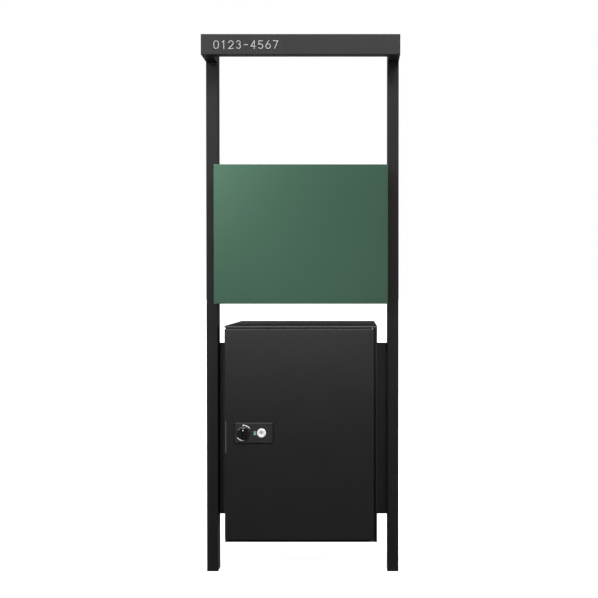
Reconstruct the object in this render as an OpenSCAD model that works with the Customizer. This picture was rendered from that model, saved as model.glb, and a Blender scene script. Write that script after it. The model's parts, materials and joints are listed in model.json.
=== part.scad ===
// Gate-post unit: two posts carry a fascia, a letter box and, below it, a
// parcel drop box with a lockable side-hung door.
// Z is up, the front faces -Y and X runs to the right as seen from the front.
// The origin is the middle of the bounding box's footprint, at ground level.

/* [Frame] */
// Height of the unit above the ground
overall_h = 1500; // [1300:10:1800]
// Width over the outer faces of the posts
frame_w = 545; // [480:5:700]
// Width of a post, along X
post_w = 32; // [28:1:50]
// Depth of a post, along Y
post_d = 42; // [34:1:70]
// Wall of the post, arm and fascia tubes
tube_wall = 2; // [1.5:0.5:3]
// Length of the plug in each end of a post
plug_h = 20; // [12:1:60]
// Radius of the tapped hole in a foot plug
foot_tap_r = 4.25; // [2.5:0.25:6]
// Thickness of the end caps
cap_t = 2; // [1:0.5:4]

/* [Fascia] */
// Height of the fascia and its arms
fascia_h = 56; // [44:1:90]
// Depth of the fascia, along Y
fascia_t = 24; // [16:1:40]
// How far the front plane stands in front of the posts
reach = 80; // [60:1:120]
// Height of the house-number characters
char_h = 23; // [16:0.5:30]
// Width of a full character
char_w = 14.5; // [10:0.5:20]
// Width of a character's stroke
char_stroke = 2.1; // [1.2:0.1:3]
// Thickness of the characters
char_t = 1.2; // [0.8:0.1:3]
// Space between characters
char_gap = 7.6; // [4:0.1:12]
// Distance of the first character from the fascia's left end
char_inset = 35; // [15:1:60]

/* [Letter box] */
// Height of the coloured front panel
mail_h = 382; // [280:1:450]
// Height of the panel's lower edge above the ground
mail_z = 763; // [740:1:900]
// Depth from the panel's face to the rear door's face
mail_d = 160; // [145:1:260]
// Gap between the letter box and each post
mail_gap = 2; // [1:0.5:6]
// Depth of the folded front panel
flap_t = 12; // [11:0.5:16]
// Width of the letter slot
slot_w = 380; // [300:5:400]
// Height of the letter slot
slot_h = 46; // [30:1:60]
// Distance from the panel's top edge to the slot
slot_drop = 42; // [30:1:80]
// Depth of the folded rear door
rear_t = 12; // [11:0.5:16]
// Width of the rear door's stop frame
rear_stop_w = 17; // [12:1:30]

/* [Parcel box] */
// Gap between the parcel box and each post
side_gap = 31; // [22:1:50]
// Height of the parcel box
parcel_h = 595; // [450:5:620]
// Height of the box's underside above the ground
parcel_z = 108; // [60:1:130]
// Depth of the parcel box
parcel_d = 360; // [260:5:450]
// Thickness of the folded door
door_t = 22; // [20:0.5:28]
// Visible height of the roof's front edge above the door
roof_lip = 5.5; // [5:0.5:10]
// Visible width of the right wall's front edge beside the door
side_lip = 4.4; // [3:0.2:8]
// Gap round the door
door_gap = 2.6; // [2.6:0.1:4]
// Extra gap on the door's hinge side
hinge_gap = 0.6; // [0.6:0.1:2]
// Corner radius of the door, seen from the front
door_r = 3; // [1:0.5:8]
// Width of the stop frame that the door closes on
jamb_w = 18; // [15:1:24]
// Room for the seal between the door and its stop frame
seal_room = 4.5; // [3:0.5:8]
// Width of the seal
seal_w = 6; // [4:0.5:8]
// Thickness of the floor mat
mat_t = 6; // [4:0.5:12]
// Radius of the door's hinge pins
pin_r = 3; // [2:0.25:4]
// Distance of the hinge pins from the door's front and side faces
pin_inset = 5.5; // [5.5:0.1:6]
// Height of the finger pull
pull_h = 90; // [60:1:140]
// Width of the finger pull, seen from the front
pull_w = 5.2; // [3:0.2:8]
// Depth of the finger pull
pull_d = 9; // [6:0.5:14]
// Middle of the finger pull below the middle of the lock
pull_drop = 11; // [0:1:30]

/* [Brackets] */
// Height of the side brackets
bracket_h = 495; // [360:5:520]
// Height of the brackets' lower end above the ground
bracket_z = 154; // [140:1:200]
// Thickness of the bracket plate
bracket_t = 3; // [2:0.5:5]
// Length of the bracket's leg along the box
bracket_leg = 40; // [30:1:60]

/* [Door lock] */
// Height of the lock's middle above the box's underside
lock_h = 301; // [200:1:380]
// Distance of the lock plate's left edge from the door's edge
lock_inset = 26; // [20:1:40]
// Width of the lock plate
lock_w = 109; // [100:1:130]
// Height of the lock plate
lock_plate_h = 60; // [54:1:80]
// Thickness of the lock plate
lock_plate_t = 2.5; // [2:0.5:4]
// Corner radius of the lock plate
lock_plate_r = 4; // [2:0.5:8]
// Distance of the knob's axis from the plate's left edge
knob_inset = 26.5; // [26:0.5:34]
// Diameter of the knob
knob_dia = 35; // [30:1:42]
// Height of the knob above the lock plate
knob_h = 14; // [10:0.5:20]
// Radius of the knob's spindle
spindle_r = 4; // [3:0.5:5]
// Distance between the knob's axis and the key's axis
key_pitch = 49.5; // [46:0.5:52]
// Diameter of the key cylinder's rim
key_rim_dia = 24.6; // [20:0.2:26]
// Radius of the key plug
key_plug_r = 6; // [5:0.5:7]
// Distance between the knob's axis and the indicator's middle
window_pitch = 31; // [28:0.2:31]
// Width of the indicator window
window_w = 7.4; // [5:0.2:9]
// Height of the indicator window
window_h = 12; // [8:0.5:13]
// Reach of the lock's cam from the spindle
cam_reach = 45; // [42:0.5:48]

/* [Sheet and screws] */
// Thickness of the folded sheet
sheet = 1.5; // [1:0.1:2]
// Radius of a screw's shank
screw_r = 2.5; // [2:0.25:3]
// Radius of a screw's head
screw_head_r = 4.5; // [4:0.25:6]
// Height of a screw's head
screw_head_h = 2.8; // [2:0.1:4]

/* [Hidden] */
$fn = 48;

BLACK = "#2c2d2f";
INNER = "#3a3b3d";
GREEN = "#4a6b58";
STEEL = "#b9bcbf";
WHITE = "#c9cccf";
RUBBER = "#161616";

// Clearances
over = 1;          // how far a cutting tool runs past a face
fit = 0.2;         // between pieces fixed in each other
hold = 0.02;       // radial, a pin held in its own part
run = 0.05;        // radial, a pin or shaft that turns
free = 0.3;        // between faces of pieces that move past each other
screw_clear = 0.15; // radial, a screw in its hole

// Front plane and the planes measured from it; the knob is the foremost piece
proud = lock_plate_t + knob_h;
front = proud - (parcel_d + proud) / 2;
back = front + parcel_d;
post_y0 = front + reach;
post_y1 = post_y0 + post_d;
post_y = (post_y0 + post_y1) / 2;
post_x = frame_w / 2 - post_w / 2;
inner_x = frame_w / 2 - post_w;

// Screws
screw_len = 9;
socket_r = 1.6;
socket_depth = 1.6;
arm_screw_len = post_d + 16;
arm_screw_z = [overall_h - fascia_h * 0.72, overall_h - fascia_h * 0.28];

// Fascia
fascia_z0 = overall_h - fascia_h;
cap_lip = 10;
joiner_len = 20;
char_list = [0, 1, 2, 3, 8, 4, 5, 6, 7]; // 8 stands for the dash
char_z = fascia_z0 + (fascia_h - char_h) / 2 - 1.5;

// Letter box
mail_x = inner_x - mail_gap;
mail_top_z = mail_z + mail_h;
mail_inset = 2;                 // the shell stays this far inside the panel
mail_z0 = mail_z + mail_inset;
mail_z1 = mail_top_z - mail_inset;
flap_inset = 7;                 // pivot behind the face and below the top edge
flap_gap = 4.5;
flap_pin_r = 2.5;
flap_y = front + flap_inset;
flap_z = mail_top_z - flap_inset;
slot_y0 = front + flap_t + flap_gap;
lug_r = 4.5;
lug_t = 4;
lug_x = mail_x - 10;
lug_notch = 1.5;
mail_back = front + mail_d;
rear_gap = 3;
rear_inset = 6;
rear_seal_out = sheet + 1;      // from a rear door face to the seal
rear_seal_in = sheet + 6;
rear_seal_hinge = 10;
rear_pin_r = 2.5;
rear_z0 = mail_z0 + sheet + 1.5;
rear_z1 = mail_z1 - sheet - 1.5;
rear_y0 = mail_back - rear_t;
rear_stop_y1 = rear_y0 - rear_gap;
rear_lock_x = mail_x - 38.5;
rear_lock_z = (rear_z0 + rear_z1) / 2;
rear_lock_r = 9;
rear_rim_r = 12;
rear_rim_h = 2;
rear_knob_r = 8;
rear_grip_w = 5;
rear_turn_r = 5;
rear_cam_reach = 28;
rear_cam_t = 2.5;
rear_cam_gap = 1;
mail_screw_z = [mail_z0 + 60, mail_z1 - 60];
spacer_r = 8;

// Parcel box
parcel_w = 2 * (inner_x - side_gap);
box_x = parcel_w / 2;
box_top = parcel_z + parcel_h;
box_z0 = parcel_z + sheet;
box_z1 = box_top - sheet;
door_x0 = -box_x;
door_x1 = box_x - side_lip - door_gap - hinge_gap;
door_z0 = box_z0 + door_gap;
door_z1 = box_top - roof_lip - door_gap;
door_y1 = front + door_t;
jamb_y0 = door_y1 + seal_room;
jamb_y1 = jamb_y0 + sheet;
wall_setback = 2;               // the left wall starts this far in front of the jamb
pin_x = door_x1 - pin_inset;
pin_y = front + pin_inset;
bush_r = 6;
bush_reach = 12;
block_w = 12;
block_h = 24;
skin_in = sheet + fit;          // from a door face to what sits inside its fold
seal_inset = 6;                 // from the door's free and lower edges to the seal
seal_inset_hinge = 5;
seal_inset_top = 3.5;
liner_y0 = door_y1 - sheet;

// Brackets
bracket_y = post_y1;
bracket_x1 = frame_w / 2 - 2;
bracket_screw_z = [for (k = [0.1, 0.5, 0.9]) bracket_z + k * bracket_h];
leg_screw_y = bracket_y + bracket_leg * 0.6;

// Lock
lock_x0 = door_x0 + lock_inset;
lock_x1 = lock_x0 + lock_w;
lock_z = parcel_z + lock_h;
knob_x = lock_x0 + knob_inset;
key_x = knob_x + key_pitch;
window_x = knob_x + window_pitch;
plate_y = front - lock_plate_t;
plate_bevel = 1.5;
case_margin = 5;
case_y0 = front + sheet;
case_y1 = liner_y0 - fit;
case_wall = 2;
strike_t = 2;
cam_y0 = jamb_y1 + strike_t + 0.7;
cam_t = 3;
cam_w = 16;
nut_h = 4;
nut_r = 6.5;
key_body_r = 9.5;
key_rim_h = 2.4;
key_slot = [1.6, 8];
flag_w = 12;
flag_t = 0.9;
flag_y0 = front + free;
grip_w = 12;
knob_base_h = 4;
cut_clear = 1;
pull_z = lock_z - pull_drop;

// ---------- shapes used by several pieces ----------

module block(x0, x1, y0, y1, z0, z1)
    translate([x0, y0, z0]) cube([x1 - x0, y1 - y0, z1 - z0]);

module rod_x(x0, x1, y, z, r, sides = $fn)
    translate([x0, y, z]) rotate([0, 90, 0]) cylinder(r = r, h = x1 - x0, $fn = sides);

module rod_y(x, y0, y1, z, r, sides = $fn)
    translate([x, y0, z]) rotate([-90, 0, 0]) cylinder(r = r, h = y1 - y0, $fn = sides);

module rod_z(x, y, z0, z1, r)
    translate([x, y, z0]) cylinder(r = r, h = z1 - z0);

// A rectangle with true round corners
module round_rect(x0, x1, z0, z1, r) {
    translate([x0 + r, z0]) square([x1 - x0 - 2 * r, z1 - z0]);
    translate([x0, z0 + r]) square([x1 - x0, z1 - z0 - 2 * r]);
    for (x = [x0 + r, x1 - r], z = [z0 + r, z1 - r]) translate([x, z]) circle(r = r);
}

// A round-cornered upright plate between two depths
module upright(x0, x1, z0, z1, r, y0, y1)
    translate([0, y1, 0]) rotate([90, 0, 0]) linear_extrude(y1 - y0) round_rect(x0, x1, z0, z1, r);

// A rectangular ring standing upright
module upright_ring(x0, x1, z0, z1, w, y0, y1)
    difference() {
        block(x0, x1, y0, y1, z0, z1);
        block(x0 + w, x1 - w, y0 - over, y1 + over, z0 + w, z1 - w);
    }

// A socket screw along Y; the head stands on seat towards dir (-1 or 1)
module screw_y(x, z, seat, dir, len)
    difference() {
        union() {
            rod_y(x, min(seat, seat + dir * screw_head_h), max(seat, seat + dir * screw_head_h), z,
                  screw_head_r);
            rod_y(x, min(seat, seat - dir * len), max(seat, seat - dir * len), z, screw_r);
        }
        rod_y(x, dir > 0 ? seat + screw_head_h - socket_depth : seat - screw_head_h - over,
              dir > 0 ? seat + screw_head_h + over : seat - screw_head_h + socket_depth, z, socket_r, 6);
    }

// A socket screw along X
module screw_x(y, z, seat, dir, len)
    difference() {
        union() {
            rod_x(min(seat, seat + dir * screw_head_h), max(seat, seat + dir * screw_head_h), y, z,
                  screw_head_r);
            rod_x(min(seat, seat - dir * len), max(seat, seat - dir * len), y, z, screw_r);
        }
        rod_x(dir > 0 ? seat + screw_head_h - socket_depth : seat - screw_head_h - over,
              dir > 0 ? seat + screw_head_h + over : seat - screw_head_h + socket_depth, y, z, socket_r, 6);
    }

// ---------- frame ----------

module post(side) color(BLACK)
    difference() {
        block(side * post_x - post_w / 2, side * post_x + post_w / 2, post_y0, post_y1,
              0, overall_h - cap_t);
        block(side * post_x - post_w / 2 + tube_wall, side * post_x + post_w / 2 - tube_wall,
              post_y0 + tube_wall, post_y1 - tube_wall, -over, overall_h);
        for (z = bracket_screw_z)
            rod_y(side * post_x, post_y1 - tube_wall - over, post_y1 + over, z, screw_r + screw_clear);
        for (z = arm_screw_z) rod_y(side * post_x, post_y0 - over, post_y1 + over, z, screw_r + screw_clear);
        for (z = mail_screw_z)
            rod_x(side * inner_x - tube_wall - over, side * inner_x + tube_wall + over, post_y, z,
                  screw_r + screw_clear);
    }

module post_left() post(-1);
module post_right() post(1);

module post_top_caps() color(BLACK)
    for (side = [-1, 1]) {
        block(side * post_x - post_w / 2, side * post_x + post_w / 2, post_y0, post_y1,
              overall_h - cap_t, overall_h);
        block(side * post_x - post_w / 2 + tube_wall + fit, side * post_x + post_w / 2 - tube_wall - fit,
              post_y0 + tube_wall + fit, post_y1 - tube_wall - fit,
              overall_h - cap_t - cap_lip / 2, overall_h - cap_t);
    }

module post_foot_plugs() color(STEEL)
    for (side = [-1, 1]) difference() {
        block(side * post_x - post_w / 2 + tube_wall + fit, side * post_x + post_w / 2 - tube_wall - fit,
              post_y0 + tube_wall + fit, post_y1 - tube_wall - fit, 0, plug_h);
        rod_z(side * post_x, post_y, -over, plug_h + over, foot_tap_r);
    }

module fascia() color(BLACK)
    difference() {
        block(-frame_w / 2 + cap_t, frame_w / 2 - cap_t, front, front + fascia_t, fascia_z0, overall_h);
        block(-frame_w / 2, frame_w / 2, front + tube_wall, front + fascia_t - tube_wall,
              fascia_z0 + tube_wall, overall_h - tube_wall);
    }

module fascia_end_caps() color(BLACK)
    for (side = [-1, 1]) {
        outer = side * frame_w / 2;
        seat = outer - side * cap_t;
        block(min(outer, seat), max(outer, seat), front, front + fascia_t, fascia_z0, overall_h);
        lip = seat - side * cap_lip;
        block(min(seat, lip), max(seat, lip), front + tube_wall + fit, front + fascia_t - tube_wall - fit,
              fascia_z0 + tube_wall + fit, overall_h - tube_wall - fit);
    }

module arm(side) color(BLACK)
    difference() {
        block(side * post_x - post_w / 2, side * post_x + post_w / 2, front + fascia_t, post_y0,
              fascia_z0, overall_h);
        block(side * post_x - post_w / 2 + tube_wall, side * post_x + post_w / 2 - tube_wall,
              front + fascia_t - over, post_y0 + over, fascia_z0 + tube_wall, overall_h - tube_wall);
    }

module arm_left() arm(-1);
module arm_right() arm(1);

// Tapped blocks inside the arms, drawn to the posts by the arm screws
module arm_joiners() color(STEEL)
    for (side = [-1, 1]) difference() {
        block(side * post_x - post_w / 2 + tube_wall + fit, side * post_x + post_w / 2 - tube_wall - fit,
              post_y0 - joiner_len, post_y0, fascia_z0 + tube_wall + fit, overall_h - tube_wall - fit);
        for (z = arm_screw_z)
            rod_y(side * post_x, post_y0 - joiner_len - over, post_y0 + over, z, screw_r + screw_clear);
    }

module arm_screws() color(STEEL)
    for (side = [-1, 1], z = arm_screw_z) screw_y(side * post_x, z, post_y1, 1, arm_screw_len);

// One straight stroke of a character, square-ended
module stroke(p, q) {
    len = norm(q - p);
    translate(p) rotate(atan2(q[1] - p[1], q[0] - p[0]))
        translate([-char_stroke / 2, -char_stroke / 2]) square([len + char_stroke, char_stroke]);
}

// One round stroke of a character, from angle a0 to a1
module bow(centre, r, a0, a1)
    translate(centre) difference() {
        circle(r = r + char_stroke / 2);
        circle(r = r - char_stroke / 2);
        if (a1 - a0 < 360) polygon(concat([[0, 0]], [for (k = [0 : 6])
            let (a = a1 + (a0 + 360 - a1) * k / 6) 3 * r * [cos(a), sin(a)]]));
    }

// A character on its own grid; h and w are measured along the strokes' middles
module character(n) {
    h = char_h - char_stroke;
    w = char_w - char_stroke;
    r = w / 2;
    low = h * 0.29;
    upper = h * 0.235;
    lower = h / 2 - upper;
    if (n == 0) {
        bow([r, r], r, 180, 360);
        bow([r, h - r], r, 0, 180);
        for (x = [0, w]) stroke([x, r], [x, h - r]);
    }
    if (n == 1) {
        stroke([w * 0.55, 0], [w * 0.55, h]);
        stroke([w * 0.55, h], [w * 0.2, h * 0.82]);
    }
    if (n == 2) {
        bow([r, h - r], r, -32, 180);
        stroke([r + r * cos(32), h - r - r * sin(32)], [0, 0]);
        stroke([0, 0], [w, 0]);
    }
    if (n == 3) {
        bow([r, h - upper], upper, -90, 165);
        bow([r, lower], lower, -165, 90);
    }
    if (n == 4) {
        stroke([w * 0.72, 0], [w * 0.72, h]);
        stroke([w * 0.72, h], [0, low]);
        stroke([0, low], [w, low]);
    }
    if (n == 5) {
        stroke([w * 0.1, h], [w * 0.92, h]);
        stroke([w * 0.1, h], [w * 0.1, h * 0.55]);
        bow([r * 0.95, r], r, -150, 130);
    }
    if (n == 6) {
        bow([r, r], r, 0, 360);
        stroke([r - r * cos(25), r + r * sin(25)], [w * 0.62, h]);
    }
    if (n == 7) {
        stroke([0, h], [w, h]);
        stroke([w, h], [w * 0.3, 0]);
    }
    if (n == 8) stroke([w * 0.15, h / 2], [w * 0.85, h / 2]);
}

module number_characters() color(WHITE)
    for (k = [0 : len(char_list) - 1])
        translate([-frame_w / 2 + char_inset + char_stroke / 2 + k * (char_w + char_gap - 1.85), front,
                   char_z + char_stroke / 2])
            rotate([90, 0, 0]) linear_extrude(char_t) character(char_list[k]);

// ---------- letter box, fixed pieces ----------

module mail_wall(side) color(BLACK)
    difference() {
        block(min(side * mail_x, side * (mail_x - sheet)), max(side * mail_x, side * (mail_x - sheet)),
              slot_y0, rear_stop_y1, mail_z0 + sheet, mail_z1 - sheet);
        for (z = mail_screw_z)
            rod_x(side * mail_x - sheet - over, side * mail_x + sheet + over, post_y, z,
                  screw_r + screw_clear);
    }

module mail_left_wall() mail_wall(-1);
module mail_right_wall() mail_wall(1);

module mail_level(z0) color(BLACK)
    difference() {
        block(-mail_x, mail_x, slot_y0, mail_back, z0, z0 + sheet);
        rod_z(-mail_x + rear_inset, mail_back - rear_inset, z0 - over, z0 + sheet + over, rear_pin_r + run);
    }

module mail_top() mail_level(mail_z1 - sheet);
module mail_floor() mail_level(mail_z0);

module mail_slot_plate() color(INNER)
    difference() {
        block(-mail_x + sheet, mail_x - sheet, slot_y0, slot_y0 + sheet, mail_z0 + sheet, mail_z1 - sheet);
        upright(-slot_w / 2, slot_w / 2, mail_top_z - slot_drop - slot_h, mail_top_z - slot_drop, 4,
                slot_y0 - over, slot_y0 + sheet + over);
    }

// Sloping baffle below the slot: letters slide in, hands don't reach the floor
module mail_guide() color(INNER)
    translate([0, slot_y0 + sheet, mail_top_z - slot_drop - slot_h - 4]) {
        block(-slot_w / 2, slot_w / 2, 0, sheet, -16, 0);
        translate([0, fit, -sheet]) rotate([-28, 0, 0]) block(-slot_w / 2, slot_w / 2, 0, 46, 0, sheet);
    }

module mail_rear_frame() color(BLACK)
    upright_ring(-mail_x + sheet, mail_x - sheet, mail_z0 + sheet, mail_z1 - sheet, rear_stop_w,
                 rear_stop_y1 - sheet, rear_stop_y1);

module mail_spacers() color(RUBBER)
    for (side = [-1, 1], z = mail_screw_z) difference() {
        rod_x(min(side * mail_x, side * inner_x), max(side * mail_x, side * inner_x), post_y, z, spacer_r);
        rod_x(side * mail_x - 2 * mail_gap, side * mail_x + 2 * mail_gap, post_y, z, screw_r + screw_clear);
    }

module mail_screws() color(STEEL)
    for (side = [-1, 1], z = mail_screw_z)
        screw_x(post_y, z, side * (mail_x - sheet), -side, screw_len + mail_gap);

// Ears on the slot plate that carry the front panel's pins
module flap_lugs() color(STEEL)
    for (side = [-1, 1]) difference() {
        union() {
            rod_x(side * lug_x - lug_t / 2, side * lug_x + lug_t / 2, flap_y, flap_z, lug_r);
            block(side * lug_x - lug_t / 2, side * lug_x + lug_t / 2, flap_y, slot_y0,
                  flap_z - lug_r, flap_z + lug_r);
        }
        rod_x(side * lug_x - lug_t, side * lug_x + lug_t, flap_y, flap_z, flap_pin_r + run);
    }

// ---------- letter box, front panel ----------

module flap_panel() color(GREEN)
    difference() {
        upright(-mail_x, mail_x, mail_z, mail_top_z, 1, front, front + flap_t);
        block(-mail_x + sheet, mail_x - sheet, front + sheet, front + flap_t + over,
              mail_z + sheet, mail_top_z - sheet);
        for (side = [-1, 1]) {
            block(side * lug_x - lug_t / 2 - lug_notch, side * lug_x + lug_t / 2 + lug_notch,
                  front + sheet, front + flap_t + over, mail_top_z - 2 * sheet, mail_top_z + over);
            rod_x(side * mail_x - 2 * sheet, side * mail_x + 2 * sheet, flap_y, flap_z, flap_pin_r + hold);
        }
    }

// Box section along the lower edge, where the panel is gripped
module flap_stiffener() color(INNER)
    block(-mail_x + 22, mail_x - 22, front + sheet, front + flap_t, mail_z + sheet, mail_z + 22);

module flap_pins() color(STEEL)
    for (side = [-1, 1]) {
        inner = side * (lug_x - lug_t);
        outer = side * (mail_x - fit);
        rod_x(min(inner, outer), max(inner, outer), flap_y, flap_z, flap_pin_r);
    }

module flap_bumpers() color(RUBBER)
    for (side = [-1, 1])
        rod_y(side * (mail_x - 40), front + flap_t, slot_y0 - free, mail_z + 13, 5);

// ---------- letter box, rear door ----------

module rear_door() color(BLACK)
    difference() {
        upright(-mail_x, mail_x, rear_z0, rear_z1, 1, rear_y0, mail_back);
        block(-mail_x + sheet, mail_x - sheet, rear_y0 - over, mail_back - sheet,
              rear_z0 + sheet, rear_z1 - sheet);
        for (z = [rear_z0, rear_z1])
            rod_z(-mail_x + rear_inset, mail_back - rear_inset, z - 2 * sheet, z + 2 * sheet,
                  rear_pin_r + hold);
        rod_y(rear_lock_x, rear_y0 - over, mail_back + over, rear_lock_z, rear_lock_r + hold);
    }

module rear_door_pins() color(STEEL) {
    rod_z(-mail_x + rear_inset, mail_back - rear_inset, mail_z0 + fit, rear_z0 + 18, rear_pin_r);
    rod_z(-mail_x + rear_inset, mail_back - rear_inset, rear_z1 - 18, mail_z1 - fit, rear_pin_r);
}

module rear_door_seal() color(RUBBER)
    difference() {
        block(-mail_x + rear_seal_out, mail_x - rear_seal_out, rear_stop_y1 + free, mail_back - sheet,
              rear_z0 + rear_seal_out, rear_z1 - rear_seal_out);
        block(-mail_x + rear_seal_in, mail_x - rear_seal_in, rear_stop_y1, mail_back,
              rear_z0 + rear_seal_in, rear_z1 - rear_seal_in);
        block(-mail_x, -mail_x + rear_seal_hinge, rear_stop_y1, mail_back, rear_z0, rear_z1);
    }

module rear_lock_body() color(STEEL)
    difference() {
        union() {
            rod_y(rear_lock_x, mail_back, mail_back + rear_rim_h, rear_lock_z, rear_rim_r);
            rod_y(rear_lock_x, rear_stop_y1 - sheet, mail_back, rear_lock_z, rear_lock_r);
        }
        rod_y(rear_lock_x, rear_stop_y1 - sheet - over, mail_back + rear_rim_h + over, rear_lock_z,
              rear_turn_r + run);
    }

// Barrel with a thumb turn outside
module rear_lock_turn() color(STEEL) {
    seat = mail_back + rear_rim_h + free;
    rod_y(rear_lock_x, rear_stop_y1 - sheet - rear_cam_gap - rear_cam_t - 3, seat, rear_lock_z, rear_turn_r);
    rod_y(rear_lock_x, seat, mail_back + 6, rear_lock_z, rear_knob_r);
    upright(rear_lock_x - rear_grip_w / 2, rear_lock_x + rear_grip_w / 2,
            rear_lock_z - rear_knob_r, rear_lock_z + rear_knob_r, 2, mail_back + 6, mail_back + 14);
}

module rear_lock_cam() color(STEEL)
    difference() {
        upright(rear_lock_x - 7.5, rear_lock_x + 7.5, rear_lock_z - rear_cam_reach, rear_lock_z + 7.5, 3,
                rear_stop_y1 - sheet - rear_cam_gap - rear_cam_t, rear_stop_y1 - sheet - rear_cam_gap);
        rod_y(rear_lock_x, rear_stop_y1 - 2 * over - 10, rear_stop_y1, rear_lock_z, rear_turn_r + hold);
    }

// ---------- parcel box, fixed pieces ----------

module box_left_wall() color(BLACK)
    difference() {
        block(-box_x, -box_x + sheet, jamb_y0 - wall_setback, back, box_z0, box_z1);
        for (z = bracket_screw_z)
            rod_x(-box_x - over, -box_x + sheet + over, leg_screw_y, z, screw_r + screw_clear);
    }

module box_right_wall() color(BLACK)
    difference() {
        union() {
            block(box_x - sheet, box_x, front, back, box_z0, box_z1);
            block(box_x - side_lip, box_x - sheet, front, front + sheet, box_z0, box_z1);
        }
        block(box_x - side_lip - over, box_x + over, front - over, front + sheet,
              box_top - roof_lip, box_z1 + over);
        for (z = bracket_screw_z)
            rod_x(box_x - sheet - over, box_x + over, leg_screw_y, z, screw_r + screw_clear);
    }

module box_roof() color(BLACK) {
    block(-box_x, box_x, front, back, box_z1, box_top);
    block(-box_x, box_x, front, front + sheet, box_top - roof_lip, box_z1);
    block(-box_x, -box_x + sheet, front + sheet, jamb_y0 - wall_setback, box_top - roof_lip, box_z1);
}

module box_floor() color(BLACK)
    difference() {
        block(-box_x, box_x, front, back, parcel_z, box_z0);
        rod_z(pin_x, pin_y, parcel_z - over, box_z0 + over, pin_r + run);
    }

module box_back() color(BLACK)
    block(-box_x + sheet, box_x - sheet, back - sheet, back, box_z0, box_z1);

// Stop frame behind the door
module box_jamb() color(BLACK)
    upright_ring(-box_x + sheet, box_x - sheet, box_z0, box_z1, jamb_w, jamb_y0, jamb_y1);

module floor_mat() color(RUBBER)
    difference() {
        block(-box_x + sheet + 2, box_x - sheet - 2, jamb_y1 + 2, back - sheet - 2, box_z0, box_z0 + mat_t);
        for (k = [1 : 9]) let (y = jamb_y1 + 2 + k * (back - jamb_y1) / 10)
            block(-box_x + 20, box_x - 20, y - 3, y + 3, box_z0 + mat_t / 2, box_z0 + mat_t + over);
    }

module bracket(side) color(BLACK)
    difference() {
        union() {
            block(min(side * box_x, side * bracket_x1), max(side * box_x, side * bracket_x1),
                  bracket_y, bracket_y + bracket_t, bracket_z, bracket_z + bracket_h);
            block(min(side * box_x, side * (box_x + bracket_t)),
                  max(side * box_x, side * (box_x + bracket_t)),
                  bracket_y + bracket_t, bracket_y + bracket_leg, bracket_z, bracket_z + bracket_h);
        }
        for (z = bracket_screw_z) {
            rod_y(side * post_x, bracket_y - over, bracket_y + bracket_t + over, z, screw_r + screw_clear);
            rod_x(side * box_x - bracket_t - over, side * box_x + bracket_t + over, leg_screw_y, z,
                  screw_r + screw_clear);
        }
    }

module bracket_left() bracket(-1);
module bracket_right() bracket(1);

module bracket_screws() color(STEEL)
    for (side = [-1, 1], z = bracket_screw_z) {
        screw_y(side * post_x, z, bracket_y + bracket_t, 1, screw_len);
        screw_x(leg_screw_y, z, side * (box_x + bracket_t), side, screw_len);
    }

// Upper bearing block under the roof and lower washer on the floor
module hinge_bushes() color(STEEL) {
    difference() {
        block(pin_x - bush_reach, box_x - side_lip - fit, front + sheet + fit, pin_y + bush_reach,
              box_top - roof_lip, box_z1);
        rod_z(pin_x, pin_y, box_top - roof_lip - over, box_z1 + over, pin_r + run);
    }
    difference() {
        rod_z(pin_x, pin_y, box_z0, door_z0 - free, min(bush_r, pin_inset - 0.3));
        rod_z(pin_x, pin_y, box_z0 - over, door_z0 + over, pin_r + run);
    }
}

module strike_plate() color(STEEL)
    block(-box_x + sheet, -box_x + sheet + jamb_w, jamb_y1, jamb_y1 + strike_t, lock_z - 24, lock_z + 24);

// ---------- parcel box, door ----------

module door_skin() color(BLACK)
    difference() {
        upright(door_x0, door_x1, door_z0, door_z1, door_r, front, door_y1);
        block(door_x0 + sheet, door_x1 - sheet, front + sheet, door_y1 + over,
              door_z0 + sheet, door_z1 - sheet);
        for (z = [door_z0, door_z1])
            rod_z(pin_x, pin_y, z - 2 * sheet, z + 2 * sheet, pin_r + hold);
        rod_y(knob_x, front - over, front + 2 * sheet, lock_z, spindle_r + cut_clear);
        rod_y(key_x, front - over, front + 2 * sheet, lock_z, key_body_r + hold);
        block(window_x - flag_w / 2 - cut_clear, window_x + flag_w / 2 + cut_clear,
              front - over, front + 2 * sheet, lock_z - 1.5 * window_h - 3, lock_z + 1.5 * window_h + 3);
        block(door_x0 - over, door_x0 + pull_w, front - over, front + pull_d,
              pull_z - pull_h / 2, pull_z + pull_h / 2);
    }

module door_liner() color(INNER)
    difference() {
        block(door_x0 + skin_in, door_x1 - skin_in, liner_y0, door_y1, door_z0 + skin_in, door_z1 - skin_in);
        rod_y(knob_x, liner_y0 - over, door_y1 + over, lock_z, spindle_r + cut_clear);
    }

module door_seal() color(RUBBER)
    upright_ring(door_x0 + seal_inset, door_x1 - seal_inset_hinge,
                 door_z0 + seal_inset, door_z1 - seal_inset_top, seal_w, door_y1, jamb_y0 - free);

module door_pins() color(STEEL) {
    rod_z(pin_x, pin_y, parcel_z + fit, door_z0 + block_h, pin_r);
    rod_z(pin_x, pin_y, door_z1 - block_h, box_z1 - fit, pin_r);
}

// Blocks in the fold's corners that hold the pins
module door_hinge_blocks() color(STEEL)
    for (z0 = [door_z0 + skin_in, door_z1 - skin_in - block_h]) difference() {
        block(door_x1 - skin_in - block_w, door_x1 - skin_in, front + skin_in, liner_y0 - fit,
              z0, z0 + block_h);
        rod_z(pin_x, pin_y, z0 - over, z0 + block_h + over, pin_r + hold);
    }

// Sloping insert in the door's free edge
module finger_pull() color(STEEL)
    translate([door_x0, front, pull_z - pull_h / 2 + fit])
        linear_extrude(pull_h - 2 * fit)
            polygon([[0, pull_d - fit], [pull_w - fit, 0.8], [pull_w - fit, pull_d - fit]]);

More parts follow.
